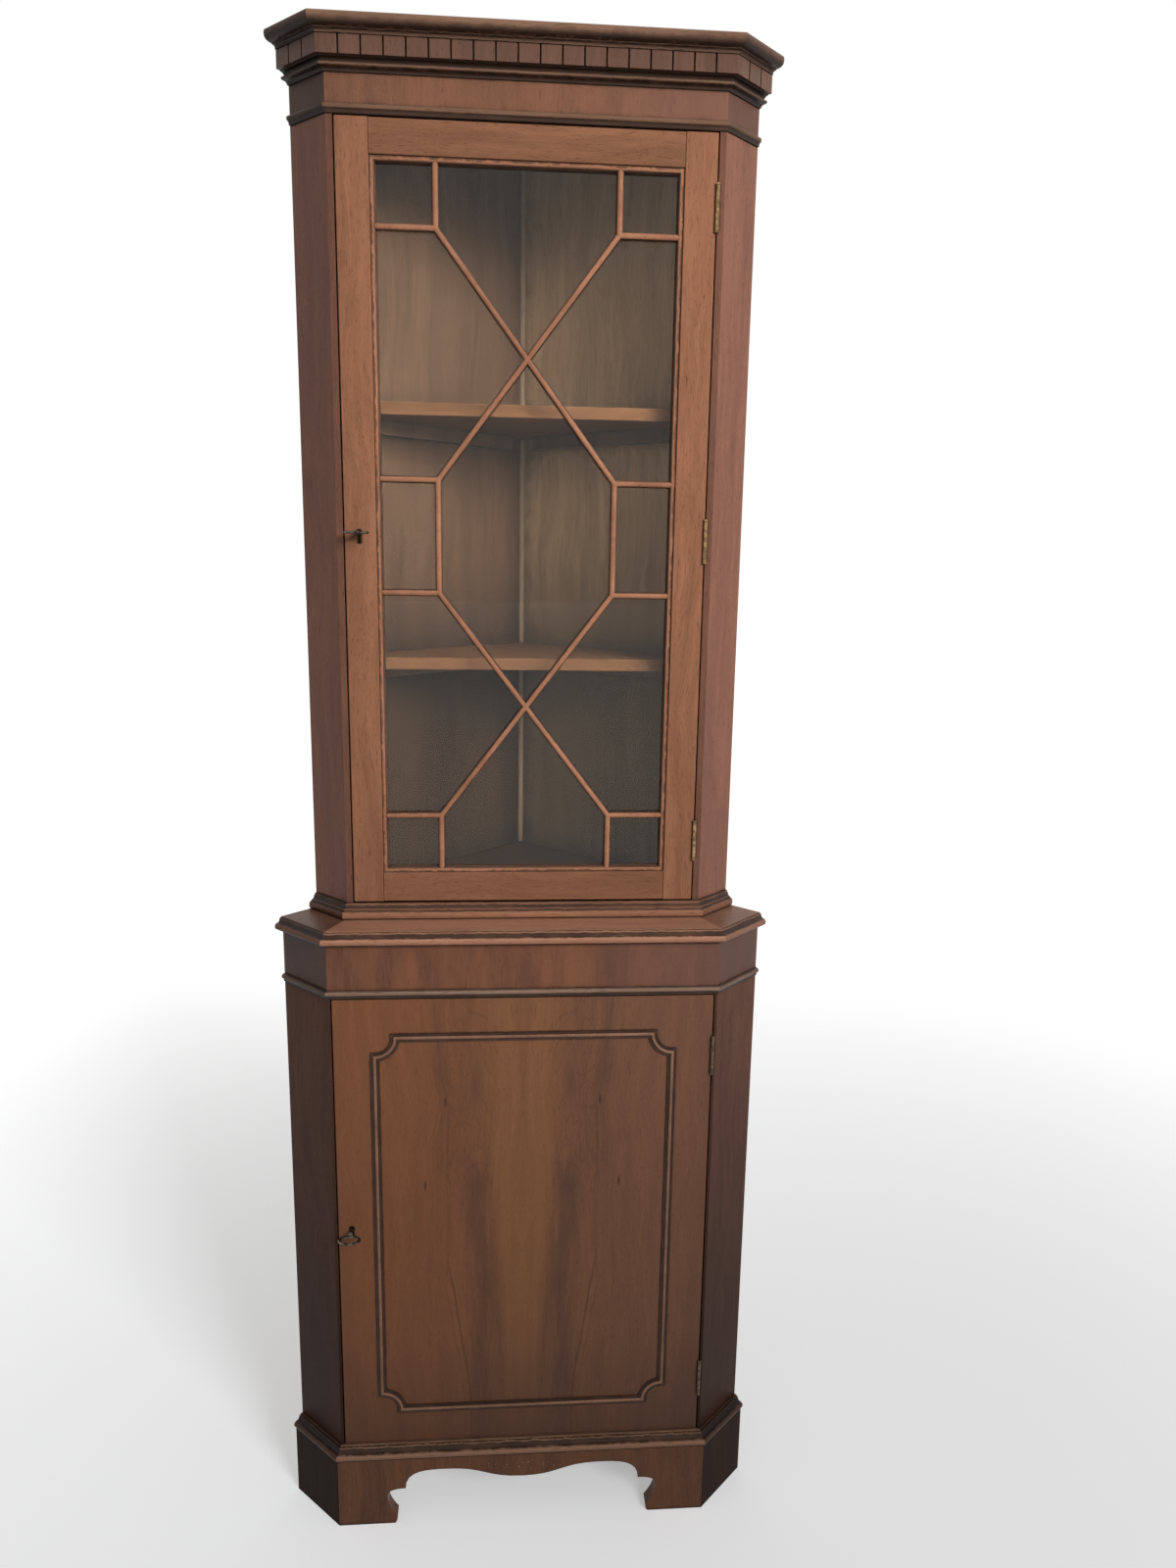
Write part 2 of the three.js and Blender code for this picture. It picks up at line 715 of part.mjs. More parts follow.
// Butt hinge: the case leaf carries the pin, and the knuckles of the two leaves alternate
function addHinge(group, run, name, height) {
  const pinX = run.doorHalf + doorGap / 2;
  const pinY = run.front - pinAhead;
  const top = height + hingeLength / 2;
  const step = hingeLength / hingeKnuckles;
  const faceY = run.front + seat;
  const leaf = (x0, first) => {
    const plate = block(x0, x0 + leafThickness, faceY, run.front + leafWidth, top - hingeLength, top);
    const pieces = [plate];
    for (let i = first; i < hingeKnuckles; i += 2) {
      const high = top - i * step - seat / 2;
      const low = top - (i + 1) * step + seat / 2;
      pieces.push(upright(knuckleRadius, pinX, pinY, low, high));
      pieces.push(block(x0, x0 + leafThickness, pinY, faceY + seat, low, high));
    }
    return join(...pieces);
  };
  const low = top - hingeLength;
  const pin = upright(hingePinRadius, pinX, pinY, low - finialHeight / 2, top + finialHeight / 2);
  const finials = [
    upright(finialRadius, pinX, pinY, top + seat, top + finialHeight),
    upright(finialRadius, pinX, pinY, low - finialHeight, low - seat),
  ];
  const bore = upright(hingePinRadius + seat, pinX, pinY, low - overrun, top + overrun);
  add(group, name + "_case_leaf", join(leaf(run.doorHalf + doorGap, 0), pin, ...finials), brass);
  add(group, name + "_door_leaf", cut(leaf(run.doorHalf - leafThickness, 1), bore), brass);
}

// Keyhole in front view: round at the top for the shank, with a slot below for the bit
function keyholeShape(x, z, grow) {
  const radius = keyholeRadius + grow;
  const slot = keyholeSlotHalf + grow;
  const side = Math.asin(slot / radius);
  const shape = new THREE.Shape();
  const floor = z - keyholeDrop + keyholeSlotHalf;
  shape.absarc(x, z, radius, side - Math.PI / 2, 1.5 * Math.PI - side, false);
  shape.absarc(x, floor, slot, Math.PI, 2 * Math.PI, false);
  return shape;
}

function keyX(run) {
  return backset - run.doorHalf;
}

// Pocket and keyhole for the lock, cut from the back and from the face of a door
function lockCutters(run) {
  const x = keyX(run);
  const z = keyHeight(run);
  const edge = -run.doorHalf;
  const front = run.front;
  const back = front + doorThickness + overrun;
  const pocketTop = z + lockAbove + seat;
  const pocketBottom = z - lockBelow - seat;
  const pocketFront = front + lockInset - seat;
  const pocket = block(edge - overrun, edge + lockWidth + seat, pocketFront, back, pocketBottom, pocketTop);
  const hole = frontPlate(keyholeShape(x, z, 0), front - overrun, back);
  const seatDepth = front + escutcheonDepth + seat;
  const inlay = frontPlate(keyholeShape(x, z, escutcheonWall + seat), front - overrun, seatDepth);
  return [pocket, hole, inlay];
}

// Cut lock let in flush at the back of the door, with its bolt, escutcheon and pipe key
function addLock(group, run, name) {
  const x = keyX(run);
  const z = keyHeight(run);
  const edge = -run.doorHalf;
  const front = run.front + lockInset;
  const back = run.front + doorThickness;
  const body = block(edge, edge + lockWidth, front, back, z - lockBelow, z + lockAbove);
  const hollowTop = z + lockAbove - lockWall;
  const hollowBottom = z - lockBelow + lockWall;
  const hollowEnd = edge + lockWidth - lockWall;
  const hollow = block(edge + selvage, hollowEnd, front + lockWall, back - lockWall, hollowBottom, hollowTop);
  const boltBottom = z + boltLift;
  const boltTop = boltBottom + boltHeight;
  const middle = boltDepth(run);
  const half = boltThickness / 2;
  const slotHalf = half + seat;
  const slotFront = middle - slotHalf;
  const slotBack = middle + slotHalf;
  const slotEnd = edge + selvage + overrun;
  const slot = block(edge - overrun, slotEnd, slotFront, slotBack, boltBottom - seat, boltTop + seat);
  const hole = frontPlate(keyholeShape(x, z, 0), front - overrun, front + lockWall + seat);
  add(group, name + "_lock", cut(body, hollow, slot, hole), brass);

  const tip = edge + boltRecess;
  const bolt = block(tip, tip + boltLength, middle - half, middle + half, boltBottom, boltTop);
  const gateTop = z + bitRadius + 2 * seat;
  const gate = block(x - talonStart, x + talonEnd, slotFront, slotBack, z, gateTop);
  add(group, name + "_bolt", cut(bolt, gate), brass);

  const rimBack = run.front + escutcheonDepth;
  const rim = frontPlate(keyholeShape(x, z, escutcheonWall), run.front, rimBack);
  const opening = frontPlate(keyholeShape(x, z, 0), run.front - overrun, rimBack + overrun);
  add(group, name + "_escutcheon", cut(rim, opening), brass);

  const bowTip = run.front - keyReach;
  const neck = bowTip + bowLength - bowRim / 2;
  const shankEnd = back - lockWall - seat;
  const shank = turned(
    [
      new THREE.Vector2(0, neck),
      new THREE.Vector2(keyShankRadius, neck),
      new THREE.Vector2(keyShankRadius, neck + keyCollarLength),
      new THREE.Vector2(keyCollarRadius, neck + 1.5 * keyCollarLength),
      new THREE.Vector2(keyCollarRadius, neck + 2.5 * keyCollarLength),
      new THREE.Vector2(keyShankRadius, neck + 3 * keyCollarLength),
      new THREE.Vector2(keyShankRadius, shankEnd),
      new THREE.Vector2(0, shankEnd),
    ],
    x, z, roundSteps,
  );
  const bow = new THREE.Shape();
  const bowY = bowTip + bowLength / 2;
  bow.absellipse(x, bowY, bowWidth / 2, bowLength / 2, 0, 2 * Math.PI);
  const eye = new THREE.Path();
  eye.absellipse(x, bowY, bowWidth / 2 - bowRim, bowLength / 2 - bowRim, 0, 2 * Math.PI);
  bow.holes.push(eye);
  const ring = new THREE.ExtrudeGeometry(bow, {
    depth: bowThickness, bevelEnabled: false, curveSegments: roundSteps / 2,
  });
  ring.translate(0, 0, z - bowThickness / 2);
  const bitHalf = bitThickness / 2;
  const bitFront = front + lockWall + seat;
  const bit = block(x, x + bitRadius, bitFront, shankEnd, z - bitHalf, z + bitHalf);
  add(group, name + "_key", join(shank, ring, bit), keyMetal);
}

// Slab with a small chamfer round its face
function facedSlab(half, front, back, bottom, top) {
  const rectangle = (inset, y) => [
    new THREE.Vector3(inset - half, y, bottom + inset),
    new THREE.Vector3(half - inset, y, bottom + inset),
    new THREE.Vector3(half - inset, y, top - inset),
    new THREE.Vector3(inset - half, y, top - inset),
  ];
  const rings = [rectangle(arris, front), rectangle(0, front + arris), rectangle(0, back)];
  return loft(rings, rings[2].map((point) => new THREE.Vector2(point.x, point.z)));
}

// Line of the planted moulding, an offset outside its centre line: straight runs that turn in to
// a hollow quarter round at each corner
function notchedLine(half, bottom, top, offset) {
  const radius = notchRadius - offset;
  const turn = Math.asin(offset / radius);
  const points = [];
  const corners = [
    [half, top, 0],
    [-half, top, 1],
    [-half, bottom, 2],
    [half, bottom, 3],
  ];
  for (const [x, z, quarter] of corners) {
    const start = 1.5 * Math.PI + turn + (quarter * Math.PI) / 2;
    const sweep = Math.PI / 2 + 2 * turn;
    for (let i = 0; i <= notchSteps; i++) {
      const angle = start - (sweep * i) / notchSteps;
      points.push(new THREE.Vector2(x + radius * Math.cos(angle), z + radius * Math.sin(angle)));
    }
  }
  return points;
}

function plantedMoulding() {
  const half = lower.doorHalf - plantedInset;
  const bottom = lowerDoorBottom + plantedInset;
  const top = lowerDoorTop - plantedInset;
  const section = new THREE.Path();
  const edge = plantedWidth / 2;
  const bead = plantedBead / 2;
  const hollow = bead + plantedFlat;
  section.moveTo(-edge, 0);
  section.lineTo(-edge, plantedLip);
  section.quadraticCurveTo(-edge, plantedQuirk, -hollow, plantedQuirk);
  section.absellipse(0, plantedQuirk, bead, plantedHeight - plantedQuirk, Math.PI, 0, true);
  section.lineTo(hollow, plantedQuirk);
  section.quadraticCurveTo(edge, plantedQuirk, edge, plantedLip);
  section.lineTo(edge, 0);
  const points = section.getPoints(curveSteps);
  const lines = points.map((point) => notchedLine(half, bottom, top, point.x));
  const faceY = lower.front - seat;
  const rings = lines[0].map((_, station) =>
    points.map((point, i) => new THREE.Vector3(lines[i][station].x, faceY - point.y, lines[i][station].y)),
  );
  return loft(rings);
}

// Lower door: a veneered slab with a planted moulding
function lowerDoor() {
  const group = new THREE.Group();
  const back = lower.front + doorThickness;
  const slab = facedSlab(lower.doorHalf, lower.front, back, lowerDoorBottom, lowerDoorTop);
  const recesses = hingeHeights(lower).map((height) => leafRecess(lower, lower.doorHalf, -1, height));
  add(group, "lower_door_panel", cut(slab, ...lockCutters(lower), ...recesses), veneer);
  add(group, "lower_door_moulding", plantedMoulding(), mouldingWood);
  addLock(group, lower, "lower");
  const names = ["lower_hinge_high", "lower_hinge_low"];
  hingeHeights(lower).forEach((height, i) => addHinge(group, lower, names[i], height));
  return group;
}
cupboard.add(lowerDoor());

// A mitred ring inside the opening of the glazed door; the section is inset and depth behind the face
function openingRing(section) {
  const half = upper.doorHalf - frameWidth;
  const bottom = upperDoorBottom + frameWidth;
  const top = upperDoorTop - frameWidth;
  const ring = (sideX, edgeZ, sideZ) =>
    section.map((p) => new THREE.Vector3(sideX * (half - p.x), upper.front + p.y, edgeZ - sideZ * p.x));
  return loft([ring(-1, bottom, -1), ring(1, bottom, -1), ring(1, top, 1), ring(-1, top, 1)]);
}

function sashSection(grow) {
  const front = sashFront - grow;
  const inner = sashWidth + grow;
  const section = new THREE.Path();
  section.moveTo(seat, sashBack + grow);
  section.lineTo(seat, front);
  section.lineTo(seat + sashFillet, front);
  section.quadraticCurveTo(inner, front, inner - sashFillet / 2, sashStep - grow);
  section.lineTo(inner, sashStep - grow);
  section.lineTo(inner, sashBack + grow);
  return section.getPoints(curveSteps);
}

// One glazing bar, half round in front. Each set of parallel bars lies a hair inside the last,
// and runs a little past the joints, so that no two bars share a face.
function glazingBar(set, x0, z0, x1, z1) {
  const half = barWidth / 2;
  const front = barFront + set * barStep;
  const back = barBack - set * barStep;
  const section = new THREE.Shape();
  section.moveTo(half, back);
  section.lineTo(-half, back);
  section.absarc(0, front + half, half, Math.PI, 2 * Math.PI, false);
  const along = new THREE.Vector3(x1 - x0, 0, z1 - z0);
  const past = barWidth * jointOverlapShare;
  const depth = along.length() + 2 * past;
  const bar = new THREE.ExtrudeGeometry(section, { depth, bevelEnabled: false, curveSegments: 4 });
  along.normalize();
  const behind = new THREE.Vector3(0, 1, 0);
  const across = behind.clone().cross(along);
  bar.applyMatrix4(new THREE.Matrix4().makeBasis(across, behind, along));
  const start = new THREE.Vector3(x0, upper.front, z0).addScaledVector(along, -past);
  return bar.translate(...start);
}

// Lattice of glazing bars: square panes in the corners, and two crossings on the centre line
function glazingLattice() {
  const half = upper.doorHalf - frameWidth;
  const nodeX = half - cornerPane;
  const side = half - sashWidth / 2;
  const bottom = upperDoorBottom + frameWidth;
  const top = upperDoorTop - frameWidth;
  const squareLow = bottom + cornerPane;
  const squareHigh = top - cornerPane;
  const waistLow = squareLow + 2 * diagonalRise;
  const waistHigh = squareHigh - 2 * diagonalRise;
  const pieces = [];
  for (const x of [-nodeX, nodeX]) {
    pieces.push(glazingBar(0, x, bottom + sashWidth / 2, x, squareLow));
    pieces.push(glazingBar(0, x, waistLow, x, waistHigh));
    pieces.push(glazingBar(0, x, squareHigh, x, top - sashWidth / 2));
  }
  for (const z of [squareLow, waistLow, waistHigh, squareHigh]) {
    pieces.push(glazingBar(1, -side, z, -nodeX, z));
    pieces.push(glazingBar(1, nodeX, z, side, z));
  }
  for (const [low, high] of [[squareLow, waistLow], [waistHigh, squareHigh]]) {
    pieces.push(glazingBar(2, -nodeX, low, nodeX, high));
    pieces.push(glazingBar(3, -nodeX, high, nodeX, low));
  }
  return cut(join(...pieces), openingRing(sashSection(seat)));
}

// Bead that holds the glass from behind
function glassBeadSection() {
  const front = glassFront + glassThickness + seat;
  const back = doorThickness - beadSetback;
  return [
    new THREE.Vector2(seat, front),
    new THREE.Vector2(beadWidth, front),
    new THREE.Vector2(beadWidth, (front + back) / 2),
    new THREE.Vector2(beadWidth / 2, back),
    new THREE.Vector2(seat, back),
  ];
}

// A frame stile in plan, chamfered on both front edges, with mortises for the rails
function stile(side) {
  const outer = upper.doorHalf;
  const inner = outer - frameWidth;
  const front = upper.front;
  const back = front + doorThickness;
  const outline = [
    new THREE.Vector2(inner + arris, front),
    new THREE.Vector2(outer - arris, front),
    new THREE.Vector2(outer, front + arris),
    new THREE.Vector2(outer, back),
    new THREE.Vector2(inner, back),
    new THREE.Vector2(inner, front + arris),
  ];
  const body = prism(side > 0 ? outline : mirrored(outline), upperDoorBottom, upperDoorTop);
  const near = side * (inner - overrun);
  const far = side * (inner + tenonLength + seat);
  return cut(body, ...tenonBlocks(Math.min(near, far), Math.max(near, far), seat));
}

// Both rails' tenons, or with a clearance the mortises that take them
function tenonBlocks(x0, x1, clearance) {
  const middle = upper.front + doorThickness / 2;
  const half = tenonThickness / 2 + clearance;
  const rails = [
    [upperDoorBottom, upperDoorBottom + frameWidth],
    [upperDoorTop - frameWidth, upperDoorTop],
  ];
  return rails.map(([bottom, top]) => {
    const low = bottom + tenonShoulder - clearance;
    return block(x0, x1, middle - half, middle + half, low, top - tenonShoulder + clearance);
  });
}

function rail(bottom, tenonIndex) {
  const half = upper.doorHalf - frameWidth - seat;
  const top = bottom + frameWidth;
  const front = upper.front;
  const back = front + doorThickness;
  const section = [
    [front, bottom + arris],
    [front, top - arris],
    [front + arris, top],
    [back, top],
    [back, bottom],
    [front + arris, bottom],
  ];
  const ring = (x) => section.map(([y, z]) => new THREE.Vector3(x, y, z));
  const body = loft([ring(-half), ring(half)], section.map(([y, z]) => new THREE.Vector2(y, z)));
  const reach = upper.doorHalf - frameWidth + tenonLength;
  return join(body, tenonBlocks(-reach, reach, 0)[tenonIndex]);
}

// Upper door: a tenoned frame, a moulding round its opening, one pane behind a lattice of bars
function upperDoor() {
  const group = new THREE.Group();
  const recesses = hingeHeights(upper).map((height) => leafRecess(upper, upper.doorHalf, -1, height));
  add(group, "upper_stile_left", cut(stile(-1), ...lockCutters(upper)), doorWood);
  add(group, "upper_stile_right", cut(stile(1), ...recesses), doorWood);
  add(group, "upper_rail_bottom", rail(upperDoorBottom, 0), doorWood);
  add(group, "upper_rail_top", rail(upperDoorTop - frameWidth, 1), doorWood);
  add(group, "sash_moulding", openingRing(sashSection(0)), mouldingWood);
  add(group, "glazing_lattice", glazingLattice(), mouldingWood);
  const paneHalf = upper.doorHalf - frameWidth - seat;
  const paneFront = upper.front + glassFront;
  const paneBottom = upperDoorBottom + frameWidth + seat;
  const paneTop = upperDoorTop - frameWidth - seat;
  const pane = block(-paneHalf, paneHalf, paneFront, paneFront + glassThickness, paneBottom, paneTop);
  add(group, "glass_pane", pane, glass);
  add(group, "glass_bead", openingRing(glassBeadSection()), doorWood);
  addLock(group, upper, "upper");
  const names = ["upper_hinge_high", "upper_hinge_middle", "upper_hinge_low"];
  hingeHeights(upper).forEach((height, i) => addHinge(group, upper, names[i], height));
  return group;
}
cupboard.add(upperDoor());

// The footprint runs from the tip of the lower key to the corner of the walls
cupboard.position.y = -(caseDepth - keyReach) / 2;

const part = new THREE.Group();
part.add(cupboard);
export default part;
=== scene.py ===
import json
import math

import bmesh
import bpy
from mathutils import Matrix, Vector


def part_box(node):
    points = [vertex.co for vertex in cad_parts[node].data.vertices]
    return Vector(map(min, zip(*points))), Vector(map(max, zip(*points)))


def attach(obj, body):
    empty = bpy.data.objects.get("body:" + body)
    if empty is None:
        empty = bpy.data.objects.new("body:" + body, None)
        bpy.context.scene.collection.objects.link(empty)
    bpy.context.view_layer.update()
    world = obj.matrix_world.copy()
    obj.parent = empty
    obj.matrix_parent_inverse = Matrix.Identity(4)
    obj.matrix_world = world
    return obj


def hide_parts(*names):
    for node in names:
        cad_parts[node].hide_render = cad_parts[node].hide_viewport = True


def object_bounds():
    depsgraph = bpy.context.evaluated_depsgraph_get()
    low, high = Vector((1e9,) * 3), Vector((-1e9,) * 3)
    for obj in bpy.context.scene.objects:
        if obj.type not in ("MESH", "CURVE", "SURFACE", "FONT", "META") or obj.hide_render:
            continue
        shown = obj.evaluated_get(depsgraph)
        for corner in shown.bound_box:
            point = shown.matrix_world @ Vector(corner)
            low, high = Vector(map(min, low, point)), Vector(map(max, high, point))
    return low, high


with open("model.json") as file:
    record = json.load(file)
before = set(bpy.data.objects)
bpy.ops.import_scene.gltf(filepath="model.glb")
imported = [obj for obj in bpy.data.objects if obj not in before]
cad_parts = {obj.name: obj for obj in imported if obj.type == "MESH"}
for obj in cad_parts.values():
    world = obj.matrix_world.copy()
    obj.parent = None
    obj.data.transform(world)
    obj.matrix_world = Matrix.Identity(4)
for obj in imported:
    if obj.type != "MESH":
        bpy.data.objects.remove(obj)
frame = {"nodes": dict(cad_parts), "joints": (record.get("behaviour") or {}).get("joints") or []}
cad_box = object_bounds()


# Plinth. A shaped front board on two bracket feet, faced with dark mahogany veneer, a mitred return of
# darker wood under each canted side, its colour darkened further as painted shade, and a plain block in the
# rear corner, all glued and screwed under the base board. The effects that every piece of wood shares are
# defined here, with the first wood.
def tint(red, green, blue):
    """A colour as a screen shows it, from 0 to 255, turned into a shader's numbers by the sRGB curve."""
    seen = [value / 255 for value in (red, green, blue)]
    return (*(v / 12.92 if v <= 0.04045 else ((v + 0.055) / 1.055) ** 2.4 for v in seen), 1.0)


def put(tree, kind, inputs=None, **settings):
    """Adds a shader node. An input is a value, or another node's output to link."""
    made = tree.nodes.new("ShaderNode" + kind)
    for name, value in settings.items():
        setattr(made, name, value)
    for key, value in (inputs or {}).items():
        if isinstance(value, bpy.types.NodeSocket):
            tree.links.new(value, made.inputs[key])
        else:
            made.inputs[key].default_value = value
    return made


def worked_out(tree, operation, first, second=0.0):
    return put(tree, "Math", {0: first, 1: second}, operation=operation).outputs[0]


def plus(tree, first, second):
    return worked_out(tree, "ADD", first, second)


def minus(tree, first, second):
    return worked_out(tree, "SUBTRACT", first, second)


def times(tree, first, second):
    return worked_out(tree, "MULTIPLY", first, second)


def size_of(tree, value):
    """The value without its sign."""
    return worked_out(tree, "ABSOLUTE", value)


def part_of(tree, vector, axis):
    return put(tree, "SeparateXYZ", {0: vector}).outputs[axis]


def scaled(tree, vector, factors):
    return put(tree, "VectorMath", {0: vector, 1: factors}, operation="MULTIPLY").outputs[0]


def ramp(tree, value, low, high, low_out=0.0, high_out=1.0):
    """A smooth step from low_out to high_out while the value goes from low to high, up or down."""
    limits = {"Value": value, "From Min": low, "From Max": high, "To Min": low_out, "To Max": high_out}
    return put(tree, "MapRange", limits, interpolation_type="SMOOTHSTEP").outputs[0]


def blended(tree, share, first, second, blend="MIX"):
    inputs = {0: share, 6: first, 7: second}
    return put(tree, "Mix", inputs, data_type="RGBA", blend_type=blend).outputs[2]


def noise(tree, vector, scale, detail=3.0, distortion=0.0, roughness=0.5):
    inputs = {"Vector": vector, "Scale": scale, "Detail": detail, "Distortion": distortion}
    return put(tree, "TexNoise", {**inputs, "Roughness": roughness}).outputs[0]


def effect(name, inputs, outputs):
    """An empty node group with named sockets: (name, kind, default) in, (name, kind) out."""
    tree = bpy.data.node_groups.new(name, "ShaderNodeTree")
    for socket, kind, default in inputs:
        made = tree.interface.new_socket(name=socket, in_out="INPUT", socket_type="NodeSocket" + kind)
        if default is not None:
            made.default_value = default
    for socket, kind in outputs:
        tree.interface.new_socket(name=socket, in_out="OUTPUT", socket_type="NodeSocket" + kind)
    return tree, tree.nodes.new("NodeGroupInput").outputs, tree.nodes.new("NodeGroupOutput").inputs


def use(tree, group, inputs):
    """Places an effect in a material with values of its own."""
    return put(tree, "Group", inputs, node_tree=group).outputs


ALONG = 0.05  # a pattern's scale along the grain, where it is drawn out, against 1 across it
UP = (1.0, 1.0, ALONG)


def timber_grain():
    """Streaks, fibre and open pores of mahogany. Stretch is small along the grain."""
    tree, given, result = effect("timber_grain", [
        ("Vector", "Vector", None),
        ("Stretch", "Vector", UP),
        ("Dark", "Color", tint(90, 55, 40)),
        ("Light", "Color", tint(150, 95, 65)),
        ("Pore", "Color", tint(45, 28, 22)),
        ("Contrast", "Float", 1.0),
    ], [("Color", "Color"), ("Height", "Float"), ("Gloss", "Float")])
    wander = put(tree, "TexNoise", {"Vector": given["Vector"], "Scale": 5.0}).outputs["Color"]
    bend = put(tree, "VectorMath", {0: wander, 1: (0.5, 0.5, 0.5)}, operation="SUBTRACT").outputs[0]
    swing = put(tree, "VectorMath", {0: bend, "Scale": 0.05}, operation="SCALE").outputs[0]
    bent = put(tree, "VectorMath", {0: given["Vector"], 1: swing}, operation="ADD").outputs[0]
    line = scaled(tree, bent, given["Stretch"])
    broad = noise(tree, line, 16.0, 2.0)
    streak = noise(tree, line, 85.0, 4.0, roughness=0.6)
    fibre = noise(tree, line, 520.0, 3.0, roughness=0.75)
    pore = ramp(tree, noise(tree, line, 1300.0, 1.0), 0.62, 0.72)
    tone = plus(tree, times(tree, broad, 0.38), times(tree, streak, 0.36))
    tone = plus(tree, tone, times(tree, fibre, 0.26))
    spread = times(tree, minus(tree, tone, 0.5), given["Contrast"])
    share = ramp(tree, plus(tree, spread, 0.5), 0.34, 0.66)
    wood = blended(tree, share, given["Dark"], given["Light"])
    tree.links.new(blended(tree, times(tree, pore, 0.55), wood, given["Pore"]), result["Color"])
    tree.links.new(minus(tree, times(tree, fibre, 0.6), pore), result["Height"])
    gloss = plus(tree, ramp(tree, broad, 0.3, 0.7, 0.0, 0.07), times(tree, pore, 0.15))
    tree.links.new(gloss, result["Gloss"])
    return tree


def rubbed_edges():
    """Polish worn thin along the arrises: a mask and a rounded normal from the bevel of the mesh."""
    tree, given, result = effect("rubbed_edges", [
        ("Vector", "Vector", None),
        ("Color", "Color", tint(120, 75, 50)),
        ("Rubbed", "Color", tint(190, 130, 88)),
        ("Radius", "Float", 0.0012),
        ("Amount", "Float", 0.6),
    ], [("Color", "Color"), ("Normal", "Vector")])
    rounded = put(tree, "Bevel", {"Radius": given["Radius"]}, samples=6).outputs[0]
    facet = put(tree, "NewGeometry").outputs["True Normal"]
    agree = put(tree, "VectorMath", {0: rounded, 1: facet}, operation="DOT_PRODUCT").outputs["Value"]
    edge = ramp(tree, minus(tree, 1.0, agree), 0.01, 0.16)
    patch = ramp(tree, noise(tree, given["Vector"], 38.0, 4.0), 0.36, 0.62)
    mask = times(tree, times(tree, edge, patch), given["Amount"])
    tree.links.new(blended(tree, mask, given["Color"], given["Rubbed"]), result["Color"])
    tree.links.new(rounded, result["Normal"])
    return tree


def hollow_glaze_and_shade():
    """Dark glaze left in quirks, coves and corners, with painted shade: an occlusion mask darkens every
    place where other surfaces stand close by.
    """
    tree, given, result = effect("hollow_glaze_and_shade", [
        ("Vector", "Vector", None),
        ("Color", "Color", tint(120, 75, 50)),
        ("Glaze", "Color", tint(34, 23, 19)),
        ("Reach", "Float", 0.008),
        ("Amount", "Float", 0.9),
    ], [("Color", "Color"), ("Mask", "Float")])
    open_share = put(tree, "AmbientOcclusion", {"Distance": given["Reach"]}, samples=8).outputs["AO"]
    uneven = ramp(tree, noise(tree, given["Vector"], 60.0, 3.0), 0.25, 0.75, -0.08, 0.08)
    mask = times(tree, ramp(tree, plus(tree, open_share, uneven), 0.9, 0.42), given["Amount"])
    tree.links.new(blended(tree, mask, given["Color"], given["Glaze"]), result["Color"])
    tree.links.new(mask, result["Mask"])
    return tree


GRAIN = timber_grain()
RUBBED = rubbed_edges()
GLAZE_AND_SHADE = hollow_glaze_and_shade()


def place_of(tree):
    """Where a point of the surface lies, in metres in the frame's own axes."""
    return put(tree, "TexCoord").outputs["Object"]


def shader_of(tree):
    return tree.nodes["Principled BSDF"].inputs


def new_material(name):
    made = bpy.data.materials.new(name)
    made.use_nodes = True
    return made, made.node_tree, place_of(made.node_tree)


def laid_over(tree, mask, colour, blend="MIX"):
    """Lays a colour over the finished base colour of a material, where the mask is 1."""
    base = shader_of(tree)["Base Color"]
    tree.links.new(blended(tree, mask, base.links[0].from_socket, colour, blend), base)


def grained(tree, place, dark, light, stretch=UP, contrast=0.9):
    wood = {"Vector": place, "Stretch": stretch, "Dark": dark, "Light": light, "Contrast": contrast}
    return use(tree, GRAIN, wood)


def aged(tree, place, colour, relief, rubbed, wear, radius, glaze, hollow, reach):
    """Rubs the edges, fills the hollows with glaze on wood and tarnish on metal, darkened further there as
    painted shade, and gives the whole a fine relief.
    """
    worn = use(tree, RUBBED, {"Vector": place, "Color": colour, "Rubbed": rubbed, "Amount": wear,
                              "Radius": radius})
    glazed_and_shaded = use(tree, GLAZE_AND_SHADE, {"Vector": place, "Color": worn["Color"], "Glaze": glaze, "Amount": hollow,
                               "Reach": reach})
    bump = put(tree, "Bump", {**relief, "Normal": worn["Normal"]})
    tree.links.new(glazed_and_shaded["Color"], shader_of(tree)["Base Color"])
    tree.links.new(bump.outputs[0], shader_of(tree)["Normal"])
    return glazed_and_shaded["Mask"]


def polish(tree, place, wood, rubbed, glaze, reach=0.008, wear=0.6, hollow=0.9, radius=0.0012, shine=0.22):
    """Age and gloss over a wood, which comes as the colour, height and gloss of its grain."""
    relief = {"Height": wood["Height"], "Strength": 0.22, "Distance": 0.00025}
    mask = aged(tree, place, wood["Color"], relief, rubbed, wear, radius, glaze, hollow, reach)
    dull = plus(tree, plus(tree, wood["Gloss"], 0.36), times(tree, mask, 0.2))
    tree.links.new(dull, shader_of(tree)["Roughness"])
    shader_of(tree)["Specular IOR Level"].default_value = shine


def mahogany(name, dark, light, stretch=UP, contrast=1.0, rubbed=tint(186, 126, 86), **options):
    material, tree, place = new_material(name)
    wood = grained(tree, place, dark, light, stretch, contrast)
    polish(tree, place, wood, rubbed, tint(38, 26, 20), **options)
    return material


def dress(material, *nodes):
    for name in nodes:
        for slot in frame["nodes"][name].material_slots:
            slot.material = material


